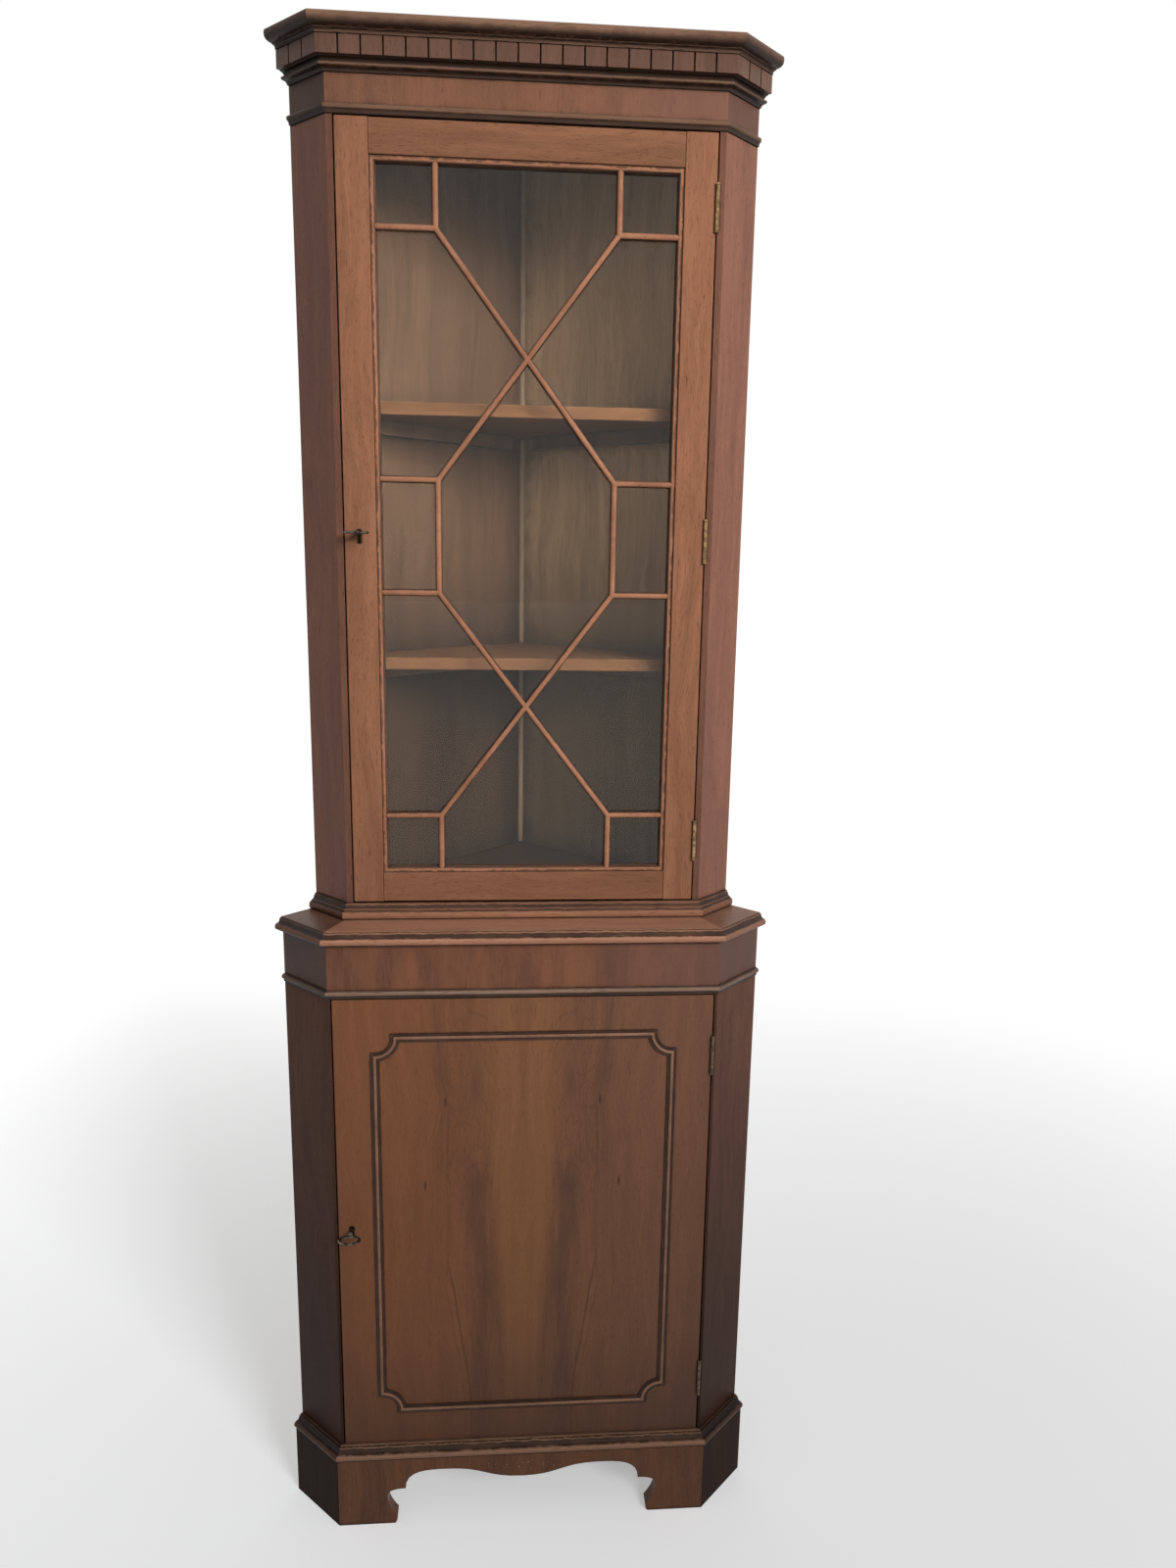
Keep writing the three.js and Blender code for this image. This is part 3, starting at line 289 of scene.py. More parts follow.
def plinth_veneer():
    """Dark plinth veneer with a few pale scuffs where feet meet the middle of the front."""
    material, tree, place = new_material("plinth_veneer")
    wood = grained(tree, place, tint(80, 50, 34), tint(118, 75, 49))
    polish(tree, place, wood, tint(140, 90, 60), tint(30, 20, 16), wear=0.4)
    near = ramp(tree, size_of(tree, part_of(tree, place, "X")), 0.13, 0.02)
    level = part_of(tree, place, "Z")
    high = times(tree, ramp(tree, level, 0.066, 0.078), ramp(tree, level, 0.1, 0.09))
    scuff = ramp(tree, noise(tree, place, 420.0, 2.0), 0.66, 0.72)
    laid_over(tree, times(tree, times(tree, near, high), scuff), tint(190, 150, 120))
    return material


dress(plinth_veneer(), "plinth_front")
# The returns' wood is dark by stain and painted darker still as shade.
return_wood = mahogany("return_wood", tint(38, 25, 19), tint(58, 38, 29), contrast=0.9, wear=0.35,
                       rubbed=tint(100, 66, 46), shine=0.02)
dress(return_wood, "plinth_return_left", "plinth_return_right")
bare_wood = mahogany("bare_wood", tint(64, 45, 34), tint(98, 72, 54), contrast=1.2, wear=0.2, hollow=0.5)
dress(bare_wood, "rear_foot")


# Moulded boards and mouldings round the case. Solid mahogany run through a moulder and mitred at both
# front corners, then given a dark glaze and wiped. The glaze is laid by level together with painted shade
# and painted highlight, so the rounds are light and the quirks, coves and undersides nearly black. The base
# and waist boards are moulded on their own edges.
WALL_CORNER = cad_box[1].y  # where the two walls meet
WALL_FACE = (0.002, 0.004)  # how far in front of the walls the finish begins, and where it is full
SEAM = 0.0004  # half the width over which one finish gives way to another


def stepped(tree, value, low, high, stops):
    """A line through stops (share of the way from low to high, result), each from 0 to 1."""
    share = put(tree, "MapRange", {"Value": value, "From Min": low, "From Max": high}).outputs[0]
    made = put(tree, "ValToRGB", {0: share})
    points = made.color_ramp.elements
    for _ in stops[2:]:
        points.new(0.5)
    for point, (at, result) in zip(points, stops):
        point.position = at
        point.color = (result, result, result, 1.0)
    return made.outputs[0]


def wiped_glaze_and_shade(tree, place, value, low, high, stops):
    """Glaze and painted shade laid over the wood: result 1 of a stop is darkest, 0 is wiped clean."""
    wobble = 0.02 * (high - low)
    uneven = ramp(tree, noise(tree, place, 90.0, 3.0), 0.25, 0.75, -wobble, wobble)
    mask = stepped(tree, plus(tree, value, uneven), low, high, stops)
    thick = ramp(tree, noise(tree, place, 35.0, 3.0), 0.2, 0.7, 0.82, 0.96)
    laid_over(tree, times(tree, mask, thick), tint(46, 33, 27))


def clear_of_walls(tree, place):
    """0 on the faces that stand against the two walls, 1 from a few millimetres in front of them."""
    aside = size_of(tree, part_of(tree, place, "X"))
    from_walls = minus(tree, WALL_CORNER, plus(tree, aside, part_of(tree, place, "Y")))
    return ramp(tree, from_walls, *WALL_FACE)


def on_return(tree, place, case):
    """1 beyond the mitre, where a board or moulding turns along a canted side."""
    corners = [v.co for v in frame["nodes"][case + "_cant_right"].data.vertices]
    front = min(corner.y for corner in corners)
    arris = max(corner.x for corner in corners if corner.y < front + SEAM)
    mitre = math.tan(math.pi / 8)
    edge = arris + front * mitre
    aside = size_of(tree, part_of(tree, place, "X"))
    beyond = plus(tree, aside, times(tree, part_of(tree, place, "Y"), mitre))
    return times(tree, ramp(tree, beyond, edge - SEAM, edge + SEAM), clear_of_walls(tree, place))


def stained_and_shaded_returns(tree, place, case):
    """The lengths beyond the mitres took more stain, like the canted sides, and are painted darker still as
    shade on the left and towards the foot.
    """
    # Painted shade: the darkening is deeper on the left and fills in towards the floor.
    depth = ramp(tree, part_of(tree, place, "X"), -0.05, 0.05, 0.85, 0.5)
    foot = ramp(tree, part_of(tree, place, "Z"), 0.5, 0.1)
    mask = times(tree, on_return(tree, place, case), worked_out(tree, "MAXIMUM", depth, foot))
    laid_over(tree, mask, tint(128, 116, 112), "MULTIPLY")


def run_moulding(node, case, stops, dark, light, worn=tint(196, 150, 118)):
    """A moulding round the case, with glaze and painted shade laid by height: stops go from its underside to
    its top.
    """
    material, tree, place = new_material(node + "_wood")
    # the grain follows the front and the returns, but lies along the front on a level top
    up = part_of(tree, put(tree, "NewGeometry").outputs["True Normal"], "Z")
    across = ramp(tree, up, 0.5, 0.9, ALONG, 1.0)
    stretch = put(tree, "CombineXYZ", {"X": ALONG, "Y": across, "Z": 1.0}).outputs[0]
    wood = grained(tree, place, dark, light, stretch, 0.65)
    # The greyish worn colour rubbed onto the arrises is partly wear and partly a painted highlight.
    polish(tree, place, wood, worn, tint(46, 34, 29), reach=0.004, wear=0.85, hollow=0.5, shine=0.16)
    low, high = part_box(node)
    wiped_glaze_and_shade(tree, place, part_of(tree, place, "Z"), low.z, high.z, stops)
    stained_and_shaded_returns(tree, place, case)
    dress(material, node)
    return tree, place


def specks(tree, place):
    """Tiny pale specks of dust where the board's top lies open."""
    up = part_of(tree, put(tree, "NewGeometry").outputs["Normal"], "Z")
    cells = put(tree, "TexVoronoi", {"Vector": place, "Scale": 130.0})
    speck = ramp(tree, cells.outputs["Distance"], 0.07, 0.04)
    chosen = ramp(tree, noise(tree, place, 24.0, 1.0), 0.56, 0.6)
    mask = times(tree, times(tree, speck, chosen), ramp(tree, up, 0.5, 0.9))
    laid_over(tree, mask, tint(190, 172, 155))


# Besides the glaze, these stops paint shade into the undersides, quirks and coves, and leave the noses and
# fillets bright as painted highlight.
edge_stops = [(0.0, 1.0), (0.1, 0.9), (0.16, 0.1), (0.5, 0.0), (0.555, 0.3), (0.585, 1.0), (0.83, 1.0),
              (0.86, 0.25), (0.925, 0.2), (0.94, 1.0), (0.955, 1.0), (0.97, 0.25), (1.0, 0.16)]
astragal_stops = [(0.0, 1.0), (0.36, 0.95), (0.42, 0.5), (0.5, 0.0), (0.86, 0.0), (0.93, 0.7), (1.0, 0.85)]
step_stops = [(0.0, 0.9), (0.06, 0.3), (0.14, 0.0), (0.42, 0.0), (0.5, 0.75), (0.57, 1.0), (0.6, 0.3),
              (0.66, 0.95), (0.84, 1.0), (0.87, 0.35), (0.93, 0.3), (1.0, 1.0)]
cornice_stops = [(0.0, 1.0), (0.06, 0.95), (0.08, 0.3), (0.1, 0.0), (0.14, 0.1), (0.16, 0.95), (0.27, 1.0),
                 (0.655, 1.0), (0.665, 0.6), (0.695, 0.55), (0.71, 0.85), (0.733, 0.8), (0.74, 0.15),
                 (0.754, 0.15), (0.76, 0.9), (0.8, 0.9), (0.85, 0.55), (0.9, 0.1), (1.0, 0.0)]
specks(*run_moulding("base_board", "lower", edge_stops, tint(120, 88, 70), tint(164, 124, 98)))
specks(*run_moulding("waist_board", "lower", edge_stops, tint(136, 94, 75), tint(180, 130, 102)))
run_moulding("lower_astragal", "lower", astragal_stops, tint(110, 86, 72), tint(152, 125, 105),
             tint(182, 152, 128))
run_moulding("upper_astragal", "upper", astragal_stops, tint(84, 62, 48), tint(124, 92, 71),
             tint(154, 118, 92))
run_moulding("upper_base_moulding", "upper", step_stops, tint(116, 78, 60), tint(166, 116, 88))
run_moulding("cornice", "upper", cornice_stops, tint(90, 65, 52), tint(132, 99, 79), tint(158, 122, 98))


# Lower case. Canted sides of solid mahogany with the grain upright, darkened towards the floor as painted
# shade, and a veneered frieze whose flames stand across it. The thin backs lie in rebates and are finished
# only on the inside, and one shelf rests on battens glued to them.
ACROSS = (ALONG, 1.0, 1.0)


def painted_shade_to_foot(material, low, high, depth):
    """Painted shade: darkens a wood towards its foot, from the level high down to the level low."""
    tree = material.node_tree
    mask = ramp(tree, part_of(tree, place_of(tree), "Z"), low, high, depth, 0.0)
    laid_over(tree, mask, tint(130, 126, 122), "MULTIPLY")


def painted_shade_on_front_edges(material, case):
    """Painted shade: the narrow edges of the canted sides beside the door are darkened and greyed below the
    canted faces.
    """
    tree = material.node_tree
    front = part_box(case + "_cant_right")[0].y
    mask = ramp(tree, part_of(tree, place_of(tree), "Y"), front + SEAM, front + 2 * SEAM, 0.5, 0.0)
    laid_over(tree, mask, tint(172, 188, 190), "MULTIPLY")


lower_cant_wood = mahogany("lower_cant_wood", tint(75, 49, 39), tint(104, 70, 56), contrast=0.8, reach=0.012,
                           wear=0.5, rubbed=tint(136, 96, 72), shine=0.05, hollow=1.0)
# Painted shade: the lower canted sides darken towards the floor.
painted_shade_to_foot(lower_cant_wood, 0.15, 0.75, 0.65)
painted_shade_on_front_edges(lower_cant_wood, "lower")
dress(lower_cant_wood, "lower_cant_left", "lower_cant_right")


def flame_veneer(name, case, dark, light, warm, sheen_at_right, figure):
    """Cross-laid veneer: broad upright flames that lean a little and glow between darker ones, and a greyer
    painted sheen towards the right end.
    """
    material, tree, place = new_material(name)
    wood = grained(tree, place, dark, light, contrast=0.8)
    leaned = put(tree, "Mapping", {"Vector": place, "Rotation": (0.0, 0.16, 0.0), "Scale": (1.0, 1.0, 0.28)})
    flame = ramp(tree, noise(tree, leaned.outputs[0], 34.0, 4.0, distortion=0.5), 0.36, 0.68, 0.0, figure)
    shade = ramp(tree, noise(tree, leaned.outputs[0], 21.0, 3.0), 0.5, 0.75, 0.0, figure)
    figured = blended(tree, flame, wood["Color"], warm)
    figured = blended(tree, shade, figured, dark)
    # Painted sheen: the right end is blended towards a greyer colour.
    figured = blended(tree, ramp(tree, part_of(tree, place, "X"), 0.02, 0.24, 0.0, 0.5), figured, sheen_at_right)
    mixed = {"Color": figured, "Height": wood["Height"], "Gloss": wood["Gloss"]}
    # The glaze's wider reach also paints the shadow under the overhang above the frieze.
    polish(tree, place, mixed, tint(170, 116, 84), tint(38, 26, 20), reach=0.01, wear=0.35, shine=0.18)
    stained_and_shaded_returns(tree, place, case)
    return material


lower_flame = flame_veneer("lower_flame", "lower", tint(86, 55, 42), tint(116, 76, 57), tint(134, 86, 60),
                           tint(104, 76, 70), 0.42)
dress(lower_flame, "lower_frieze")


def bare_outside(material):
    """The face against the wall has no stain: only the side that shows was finished."""
    tree = material.node_tree
    place = place_of(tree)
    raw = grained(tree, place, tint(158, 124, 90), tint(190, 154, 116), contrast=0.8)
    laid_over(tree, minus(tree, 1.0, clear_of_walls(tree, place)), raw["Color"])


# The wide reach in these options paints shade into the corners of the backs and the top board, and under the
# shelves.
back_options = {"contrast": 0.9, "wear": 0.0, "hollow": 0.5, "reach": 0.05, "shine": 0.02}
back_board = mahogany("back_board", tint(78, 52, 35), tint(104, 70, 47), **back_options)
bare_outside(back_board)
dress(back_board, "lower_back_left", "lower_back_right")
shelf_wood = mahogany("shelf_wood", tint(84, 56, 36), tint(112, 76, 50), ACROSS, contrast=0.8, hollow=0.35,
                      rubbed=tint(176, 128, 90), shine=0.03)
dress(shelf_wood, "lower_shelf")
dress(bare_wood, "lower_batten_left", "lower_batten_right")


# Lower door. A blockboard slab faced with two book-matched leaves of figured mahogany, so that every
# streak and fleck on the left is repeated on the right. The moulding is planted on with glue.
def leaf_of(tree, place):
    """Where a point lies on its leaf of veneer. Both leaves read the same figure, folded at the joint."""
    joint = 0.002  # how far left of the middle the leaves meet
    x, y, z = put(tree, "SeparateXYZ", {0: place}).outputs
    aside = size_of(tree, plus(tree, x, joint))
    folded = put(tree, "CombineXYZ", {"X": aside, "Y": y, "Z": z}).outputs[0]
    low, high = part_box("lower_door_panel")
    drawn = scaled(tree, folded, (1.0, 1.0, 0.11))
    drift = ramp(tree, noise(tree, drawn, 22.0, 3.0), 0.2, 0.8, -0.011, 0.011)
    return {
        "x": x,
        "level": z,
        "height": put(tree, "MapRange", {"Value": z, "From Min": low.z, "From Max": high.z}).outputs[0],
        "aside": aside,
        "drift": drift,
        "wavy": plus(tree, aside, drift),
        "folded": folded,
        "ragged": ramp(tree, noise(tree, drawn, 70.0, 5.0, roughness=0.65), 0.3, 0.65),
    }


def by_height(tree, leaf, stops):
    return stepped(tree, leaf["height"], 0.0, 1.0, stops)


def drawn_line(tree, leaf, aside, stops, width, soft, depth):
    """A streak at a distance from the joint that changes with height; stops are (share, metres)."""
    reach = 0.16
    path = by_height(tree, leaf, [(at, metres / reach) for at, metres in stops])
    gap = size_of(tree, minus(tree, aside, times(tree, path, reach)))
    return times(tree, ramp(tree, gap, width + soft, width), depth)


def oval(tree, aside, level, centre, half):
    """How far a point is from an oval's centre, squared, with 1 on its edge, and how high it is in it."""
    across = worked_out(tree, "DIVIDE", minus(tree, aside, centre[0]), half[0])
    along = worked_out(tree, "DIVIDE", minus(tree, level, centre[1]), half[1])
    return plus(tree, times(tree, across, across), times(tree, along, along)), along


def golden_heart(tree, leaf, colour):
    """A golden stripe down each side of the joint."""
    heart = ramp(tree, leaf["wavy"], 0.052, 0.026)
    strength = by_height(tree, leaf, [(0.0, 0.3), (0.35, 0.8), (0.62, 0.75), (0.82, 0.4), (1.0, 0.2)])
    return blended(tree, times(tree, times(tree, heart, strength), 0.46), colour, tint(138, 95, 60))


def dusky_feathers(tree, leaf, colour):
    """Dusky feathers beside the heart, from two thirds up, closing in as they run down."""
    path = [(0.0, 0.054), (0.28, 0.057), (0.44, 0.062), (0.6, 0.066), (1.0, 0.07)]
    feather = drawn_line(tree, leaf, leaf["wavy"], path, 0.006, 0.026, 1.0)
    strength = by_height(tree, leaf, [(0.0, 0.6), (0.3, 0.85), (0.5, 0.75), (0.6, 0.95), (0.66, 0.35),
                                      (0.74, 0.3), (0.82, 0.6), (0.9, 0.3), (1.0, 0.15)])
    ragged = ramp(tree, leaf["ragged"], 0.0, 1.0, 0.35, 0.9)
    return blended(tree, times(tree, times(tree, feather, strength), ragged), colour, tint(74, 51, 43))


def growth_lines(tree, leaf, colour):
    """Thin growth lines that bow outwards, and a dark band over their upper ends."""
    bow = [(0.0, 0.071), (0.11, 0.073), (0.19, 0.079), (0.32, 0.092), (0.43, 0.102), (0.6, 0.102),
           (0.774, 0.099), (0.84, 0.107), (1.0, 0.118)]
    seen = by_height(tree, leaf, [(0.0, 0.9), (0.36, 0.9), (0.44, 0.4), (0.6, 0.35), (0.7, 0.8), (0.86, 0.7),
                                  (1.0, 0.4)])
    seen = times(tree, seen, ramp(tree, leaf["ragged"], 0.0, 1.0, 0.5, 1.0))
    aside = plus(tree, leaf["aside"], times(tree, leaf["drift"], 0.35))
    for shift, width, depth in ((0.0, 0.0006, 0.6), (0.008, 0.0003, 0.25), (0.03, 0.0004, 0.18),
                                (-0.012, 0.0003, 0.16)):
        stops = [(at, metres + shift) for at, metres in bow]
        line = drawn_line(tree, leaf, aside, stops, width, 0.0014, depth)
        colour = blended(tree, times(tree, line, seen), colour, tint(50, 34, 28))
    path = [(0.0, 0.07), (0.72, 0.1), (0.79, 0.103), (0.9, 0.11), (1.0, 0.116)]
    band = drawn_line(tree, leaf, leaf["wavy"], path, 0.003, 0.007, 0.45)
    upper_end = by_height(tree, leaf, [(0.0, 0.0), (0.77, 0.0), (0.84, 1.0), (1.0, 0.5)])
    return blended(tree, times(tree, band, upper_end), colour, tint(80, 54, 45))


def tall_loops(tree, leaf, colour):
    """Faint tall loops over the feathers, fading out towards their feet."""
    away, along = oval(tree, leaf["wavy"], leaf["level"], (0.063, 0.63), (0.022, 0.1))
    for ring, depth in ((1.0, 0.22), (0.5, 0.14), (1.8, 0.12)):
        gap = size_of(tree, minus(tree, away, ring))
        loop = times(tree, ramp(tree, gap, 0.12, 0.02), ramp(tree, along, -0.9, 0.2, 0.0, depth))
        colour = blended(tree, loop, colour, tint(84, 56, 46))
    return colour


def curled_lines(tree, leaf, colour):
    """Curls of fine lines between the heart and the bowed lines."""
    rolling = noise(tree, scaled(tree, leaf["folded"], (1.0, 1.0, 0.3)), 15.0, 2.0, distortion=1.0)
    ridge = worked_out(tree, "PINGPONG", times(tree, rolling, 11.0), 0.5)
    within = times(tree, ramp(tree, leaf["aside"], 0.035, 0.05), ramp(tree, leaf["aside"], 0.13, 0.105))
    curl = times(tree, ramp(tree, ridge, 0.09, 0.0), within)
    strength = by_height(tree, leaf, [(0.0, 0.08), (0.5, 0.1), (0.6, 0.35), (0.92, 0.4), (1.0, 0.15)])
    return blended(tree, times(tree, curl, strength), colour, tint(70, 47, 38))


def paired_flecks(tree, leaf, colour):
    """Short dark flecks, one pair over the other."""
    for centre in ((0.104, 0.649), (0.132, 0.527)):
        away = oval(tree, leaf["aside"], leaf["level"], centre, (0.0024, 0.0095))[0]
        colour = blended(tree, ramp(tree, away, 1.0, 0.2, 0.0, 0.85), colour, tint(40, 27, 24))
    return colour


def stain_sheen_and_shade(tree, leaf, colour):
    """Redder towards the lock side; a greyer painted sheen towards the hinges, and painted shade towards the
    plinth.
    """
    door_edge = 0.26
    side = ramp(tree, leaf["x"], -door_edge, door_edge)
    colour = blended(tree, ramp(tree, side, 0.5, 0.0, 0.0, 0.35), colour, tint(128, 76, 46))
    colour = blended(tree, ramp(tree, side, 0.5, 1.0, 0.0, 0.32), colour, tint(102, 73, 63))
    return blended(tree, ramp(tree, leaf["height"], 0.28, 0.0, 0.0, 0.5), colour, tint(64, 43, 33))


def book_matched_veneer():
    material, tree, place = new_material("book_matched_veneer")
    leaf = leaf_of(tree, place)
    wood = grained(tree, leaf["folded"], tint(92, 60, 43), tint(124, 82, 56))
    colour = wood["Color"]
    for figure in (golden_heart, dusky_feathers, growth_lines, tall_loops, curled_lines, paired_flecks,
                   stain_sheen_and_shade):
        colour = figure(tree, leaf, colour)
    mixed = {"Color": colour, "Height": wood["Height"], "Gloss": wood["Gloss"]}
    polish(tree, place, mixed, tint(168, 114, 80), tint(42, 29, 23), wear=0.4)
    return material


dress(book_matched_veneer(), "lower_door_panel")


def glazed_and_shaded_by_depth(name, dark, light, worn, spread, stops, *nodes, **options):
    """Mouldings on a door, with grain both up and across, and glaze and painted shade laid by depth: stops
    go from the crown back to the door, where the flanks are darkest.
    """
    material, tree, place = new_material(name)
    wood = grained(tree, place, dark, light, (spread, 1.0, spread))
    polish(tree, place, wood, worn, tint(42, 29, 23), reach=0.004, **options)
    low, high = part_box(nodes[0])
    wiped_glaze_and_shade(tree, place, part_of(tree, place, "Y"), low.y, high.y, stops)
    dress(material, *nodes)


ridge_stops = [(0.0, 0.0), (0.32, 0.0), (0.45, 0.55), (0.55, 0.9), (1.0, 1.0)]
glazed_and_shaded_by_depth("planted_moulding", tint(106, 75, 58), tint(148, 109, 86), tint(186, 138, 102), 0.3,
                ridge_stops, "lower_door_moulding", wear=0.8, hollow=0.8, radius=0.0007)


# Upper case. Canted sides as below, a frieze faced with plainer veneer, a bottom and two shelves with
# lighter edges, thin backs, and a top board that lies behind the rim of the cornice. The bottom is painted
# darker than the shelves, the left back darker and the right back lighter, and both backs darker towards
# their foot, as painted shade and light.
cant_wood = mahogany("cant_wood", tint(98, 63, 50), tint(132, 87, 68), contrast=0.8, reach=0.012, wear=0.5,
                     rubbed=tint(160, 112, 84), shine=0.16, hollow=1.0)
painted_shade_on_front_edges(cant_wood, "upper")
dress(cant_wood, "upper_cant_left", "upper_cant_right")
upper_flame = flame_veneer("upper_flame", "upper", tint(94, 63, 48), tint(122, 83, 63), tint(130, 88, 64),
                           tint(112, 79, 68), 0.3)
dress(upper_flame, "upper_frieze")
dress(shelf_wood, "upper_shelf_low", "upper_shelf_high")
dress(mahogany("top_wood", tint(104, 74, 50), tint(136, 100, 70), ACROSS, **back_options), "top_board")
# The two backs are one wood: the left is painted darker as shade and the right lighter as light, and both
# darken towards their foot as painted shade.
for side, dark, light, depth in (("left", tint(76, 57, 43), tint(104, 78, 59), 0.85),
                                 ("right", tint(129, 104, 80), tint(164, 133, 102), 0.8)):
    back_wood = mahogany(side + "_back_wood", dark, light, **back_options)
    painted_shade_to_foot(back_wood, 1.15, 1.5, depth)
    bare_outside(back_wood)
    dress(back_wood, "upper_back_" + side)
# The bottom board is a darker copy of the shelf wood, painted darker still as shade.
bottom_wood = mahogany("bottom_wood", tint(78, 51, 32), tint(104, 69, 44), ACROSS, contrast=0.8, shine=0.03)
painted_shade_to_foot(bottom_wood, 0.95, 1.1, 0.85)
dress(bottom_wood, "upper_bottom_board")
for level in ("low", "high"):
    dress(bare_wood, f"upper_batten_{level}_left", f"upper_batten_{level}_right")


# Dentil band. A strip of mahogany parted into blocks by saw cuts and glued on the flat of the cornice.
# The cuts are dark with glaze and painted shade, and the blocks' faces are plain.
dentil_wood = mahogany("dentil_wood", tint(78, 54, 44), tint(102, 73, 59), contrast=0.8, reach=0.0045,
                       wear=0.45, hollow=1.0, radius=0.0007, rubbed=tint(130, 95, 75))
dress(dentil_wood, "dentil_band")


# Upper door. A frame of two stiles and two tenoned rails in straight-grained, orange-brown mahogany, with
# a moulding round its opening, a lattice of half-round bars and a bead that holds the glass.
frame_options = {"contrast": 0.9, "reach": 0.004, "wear": 0.5, "hollow": 0.6, "rubbed": tint(170, 120, 88),
                 "shine": 0.14}
stile_wood = mahogany("door_stile", tint(114, 75, 54), tint(147, 100, 74), UP, **frame_options)
dress(stile_wood, "upper_stile_left", "upper_stile_right")
rail_wood = mahogany("door_rail", tint(104, 69, 50), tint(135, 92, 67), ACROSS, **frame_options)
dress(rail_wood, "upper_rail_top", "upper_rail_bottom")

sash_stops = [(0.0, 0.75), (0.008, 0.6), (0.02, 0.05), (0.07, 0.0), (0.13, 0.8), (0.6, 0.95), (0.64, 0.25),
              (0.67, 0.3), (0.74, 0.95), (1.0, 1.0)]
bar_stops = [(0.0, 0.0), (0.13, 0.0), (0.21, 0.5), (0.32, 1.0), (1.0, 1.0)]
for name, stops, *nodes in (("sash_wood", sash_stops, "sash_moulding", "glass_bead"),
                            ("bar_wood", bar_stops, "glazing_lattice")):
    glazed_and_shaded_by_depth(name, tint(124, 82, 60), tint(162, 112, 84), tint(192, 140, 106), 0.4, stops, *nodes,
                    wear=0.6, hollow=0.85, radius=0.001)


# Glass. One clear float pane 3 mm thick behind the whole lattice. Light that falls through it is let
# through as by any window, so that the shelves aren't in the dark.
def clear_glass():
    material, tree, place = new_material("clear_glass")
    shader = shader_of(tree)
    shader["Transmission Weight"].default_value = 1.0
    shader["Roughness"].default_value = 0.0
    shader["IOR"].default_value = 1.46
    shader["Specular Tint"].default_value = (0.5, 0.52, 0.52, 1.0)
    wave = {"Height": noise(tree, place, 7.0, 1.0), "Strength": 0.02, "Distance": 0.004}
    tree.links.new(put(tree, "Bump", wave).outputs[0], shader["Normal"])
    shade = ramp(tree, noise(tree, place, 3.0, 1.0), 0.3, 0.7)
    tree.links.new(blended(tree, shade, tint(246, 244, 238), tint(250, 249, 245)), shader["Base Color"])
    passing = put(tree, "BsdfTransparent", {"Color": (0.86, 0.88, 0.87, 1.0)})
    shadow = put(tree, "LightPath").outputs["Is Shadow Ray"]
    glass = tree.nodes["Principled BSDF"].outputs[0]
    mixed = put(tree, "MixShader", {0: shadow, 1: glass, 2: passing.outputs[0]})
    tree.links.new(mixed.outputs[0], tree.nodes["Material Output"].inputs["Surface"])
    return material


dress(clear_glass(), "glass_pane")


# Butt hinges, three on the upper door and two on the lower. Extruded brass with four knuckles on a fixed
# pin, each leaf let into the wood and held by three countersunk screws.
BRUSHED = (1.0, 1.0, 0.1)  # scratches that run up and down


def metal(name, clean, dull, tarnish, roughness, brushed=(1.0, 1.0, 1.0), reach=0.0025):
    """Old polished metal: brushed, darker in its hollows and brighter on its edges."""
    material, tree, place = new_material(name)
    patch = ramp(tree, noise(tree, place, 160.0, 4.0), 0.35, 0.65)
    colour = blended(tree, patch, dull, clean)
    scratch = noise(tree, scaled(tree, place, brushed), 2400.0, 2.0)
    relief = {"Height": scratch, "Strength": 0.12, "Distance": 0.0001}
    aged(tree, place, colour, relief, clean, 0.9, 0.0004, tarnish, 0.85, reach)
    spread = plus(tree, times(tree, patch, -0.12), roughness + 0.1)
    tree.links.new(spread, shader_of(tree)["Roughness"])
    shader_of(tree)["Metallic"].default_value = 0.9
    return material


upper_brass = metal("hinge_brass", tint(178, 148, 104), tint(128, 104, 72), tint(40, 30, 22), 0.52, BRUSHED)
# The lower hinges take a darker, greyer copy of the brass: partly tarnish, partly painted shade.
lower_brass = metal("tarnished_and_shaded_brass", tint(122, 105, 83), tint(84, 71, 56), tint(34, 27, 21), 0.56, BRUSHED)
screw_brass = metal("screw_brass", tint(180, 152, 112), tint(134, 108, 78), tint(46, 34, 26), 0.4)
hinge_names = [f"upper_hinge_{level}" for level in ("high", "middle", "low")]
hinge_names += ["lower_hinge_high", "lower_hinge_low"]
for name in hinge_names:
    dress(upper_brass if "upper" in name else lower_brass, name + "_case_leaf", name + "_door_leaf")


def new_piece(name, vertices, faces, material, body, slot):
    """A mesh piece in the row frame that rides on a body and takes the given material. The slot is not used.
    """
    mesh = bpy.data.meshes.new(name)
    mesh.from_pydata([tuple(v) for v in vertices], [], faces)
    shape = bmesh.new()
    shape.from_mesh(mesh)
    bmesh.ops.remove_doubles(shape, verts=shape.verts, dist=1e-7)
    bmesh.ops.recalc_face_normals(shape, faces=shape.faces)
    shape.to_mesh(mesh)
    shape.free()
    mesh.shade_smooth()
    mesh.set_sharp_from_angle(angle=math.radians(34))
    mesh.materials.append(material)
    made = bpy.data.objects.new(name, mesh)
    bpy.context.scene.collection.objects.link(made)
    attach(made, body)
    return made


def gathered(parts):
    """Several (vertices, faces) lists as one."""
    vertices = []
    faces = []
    for some, corners in parts:
        start = len(vertices)
        vertices += some
        faces += [tuple(start + i for i in face) for face in corners]
    return vertices, faces


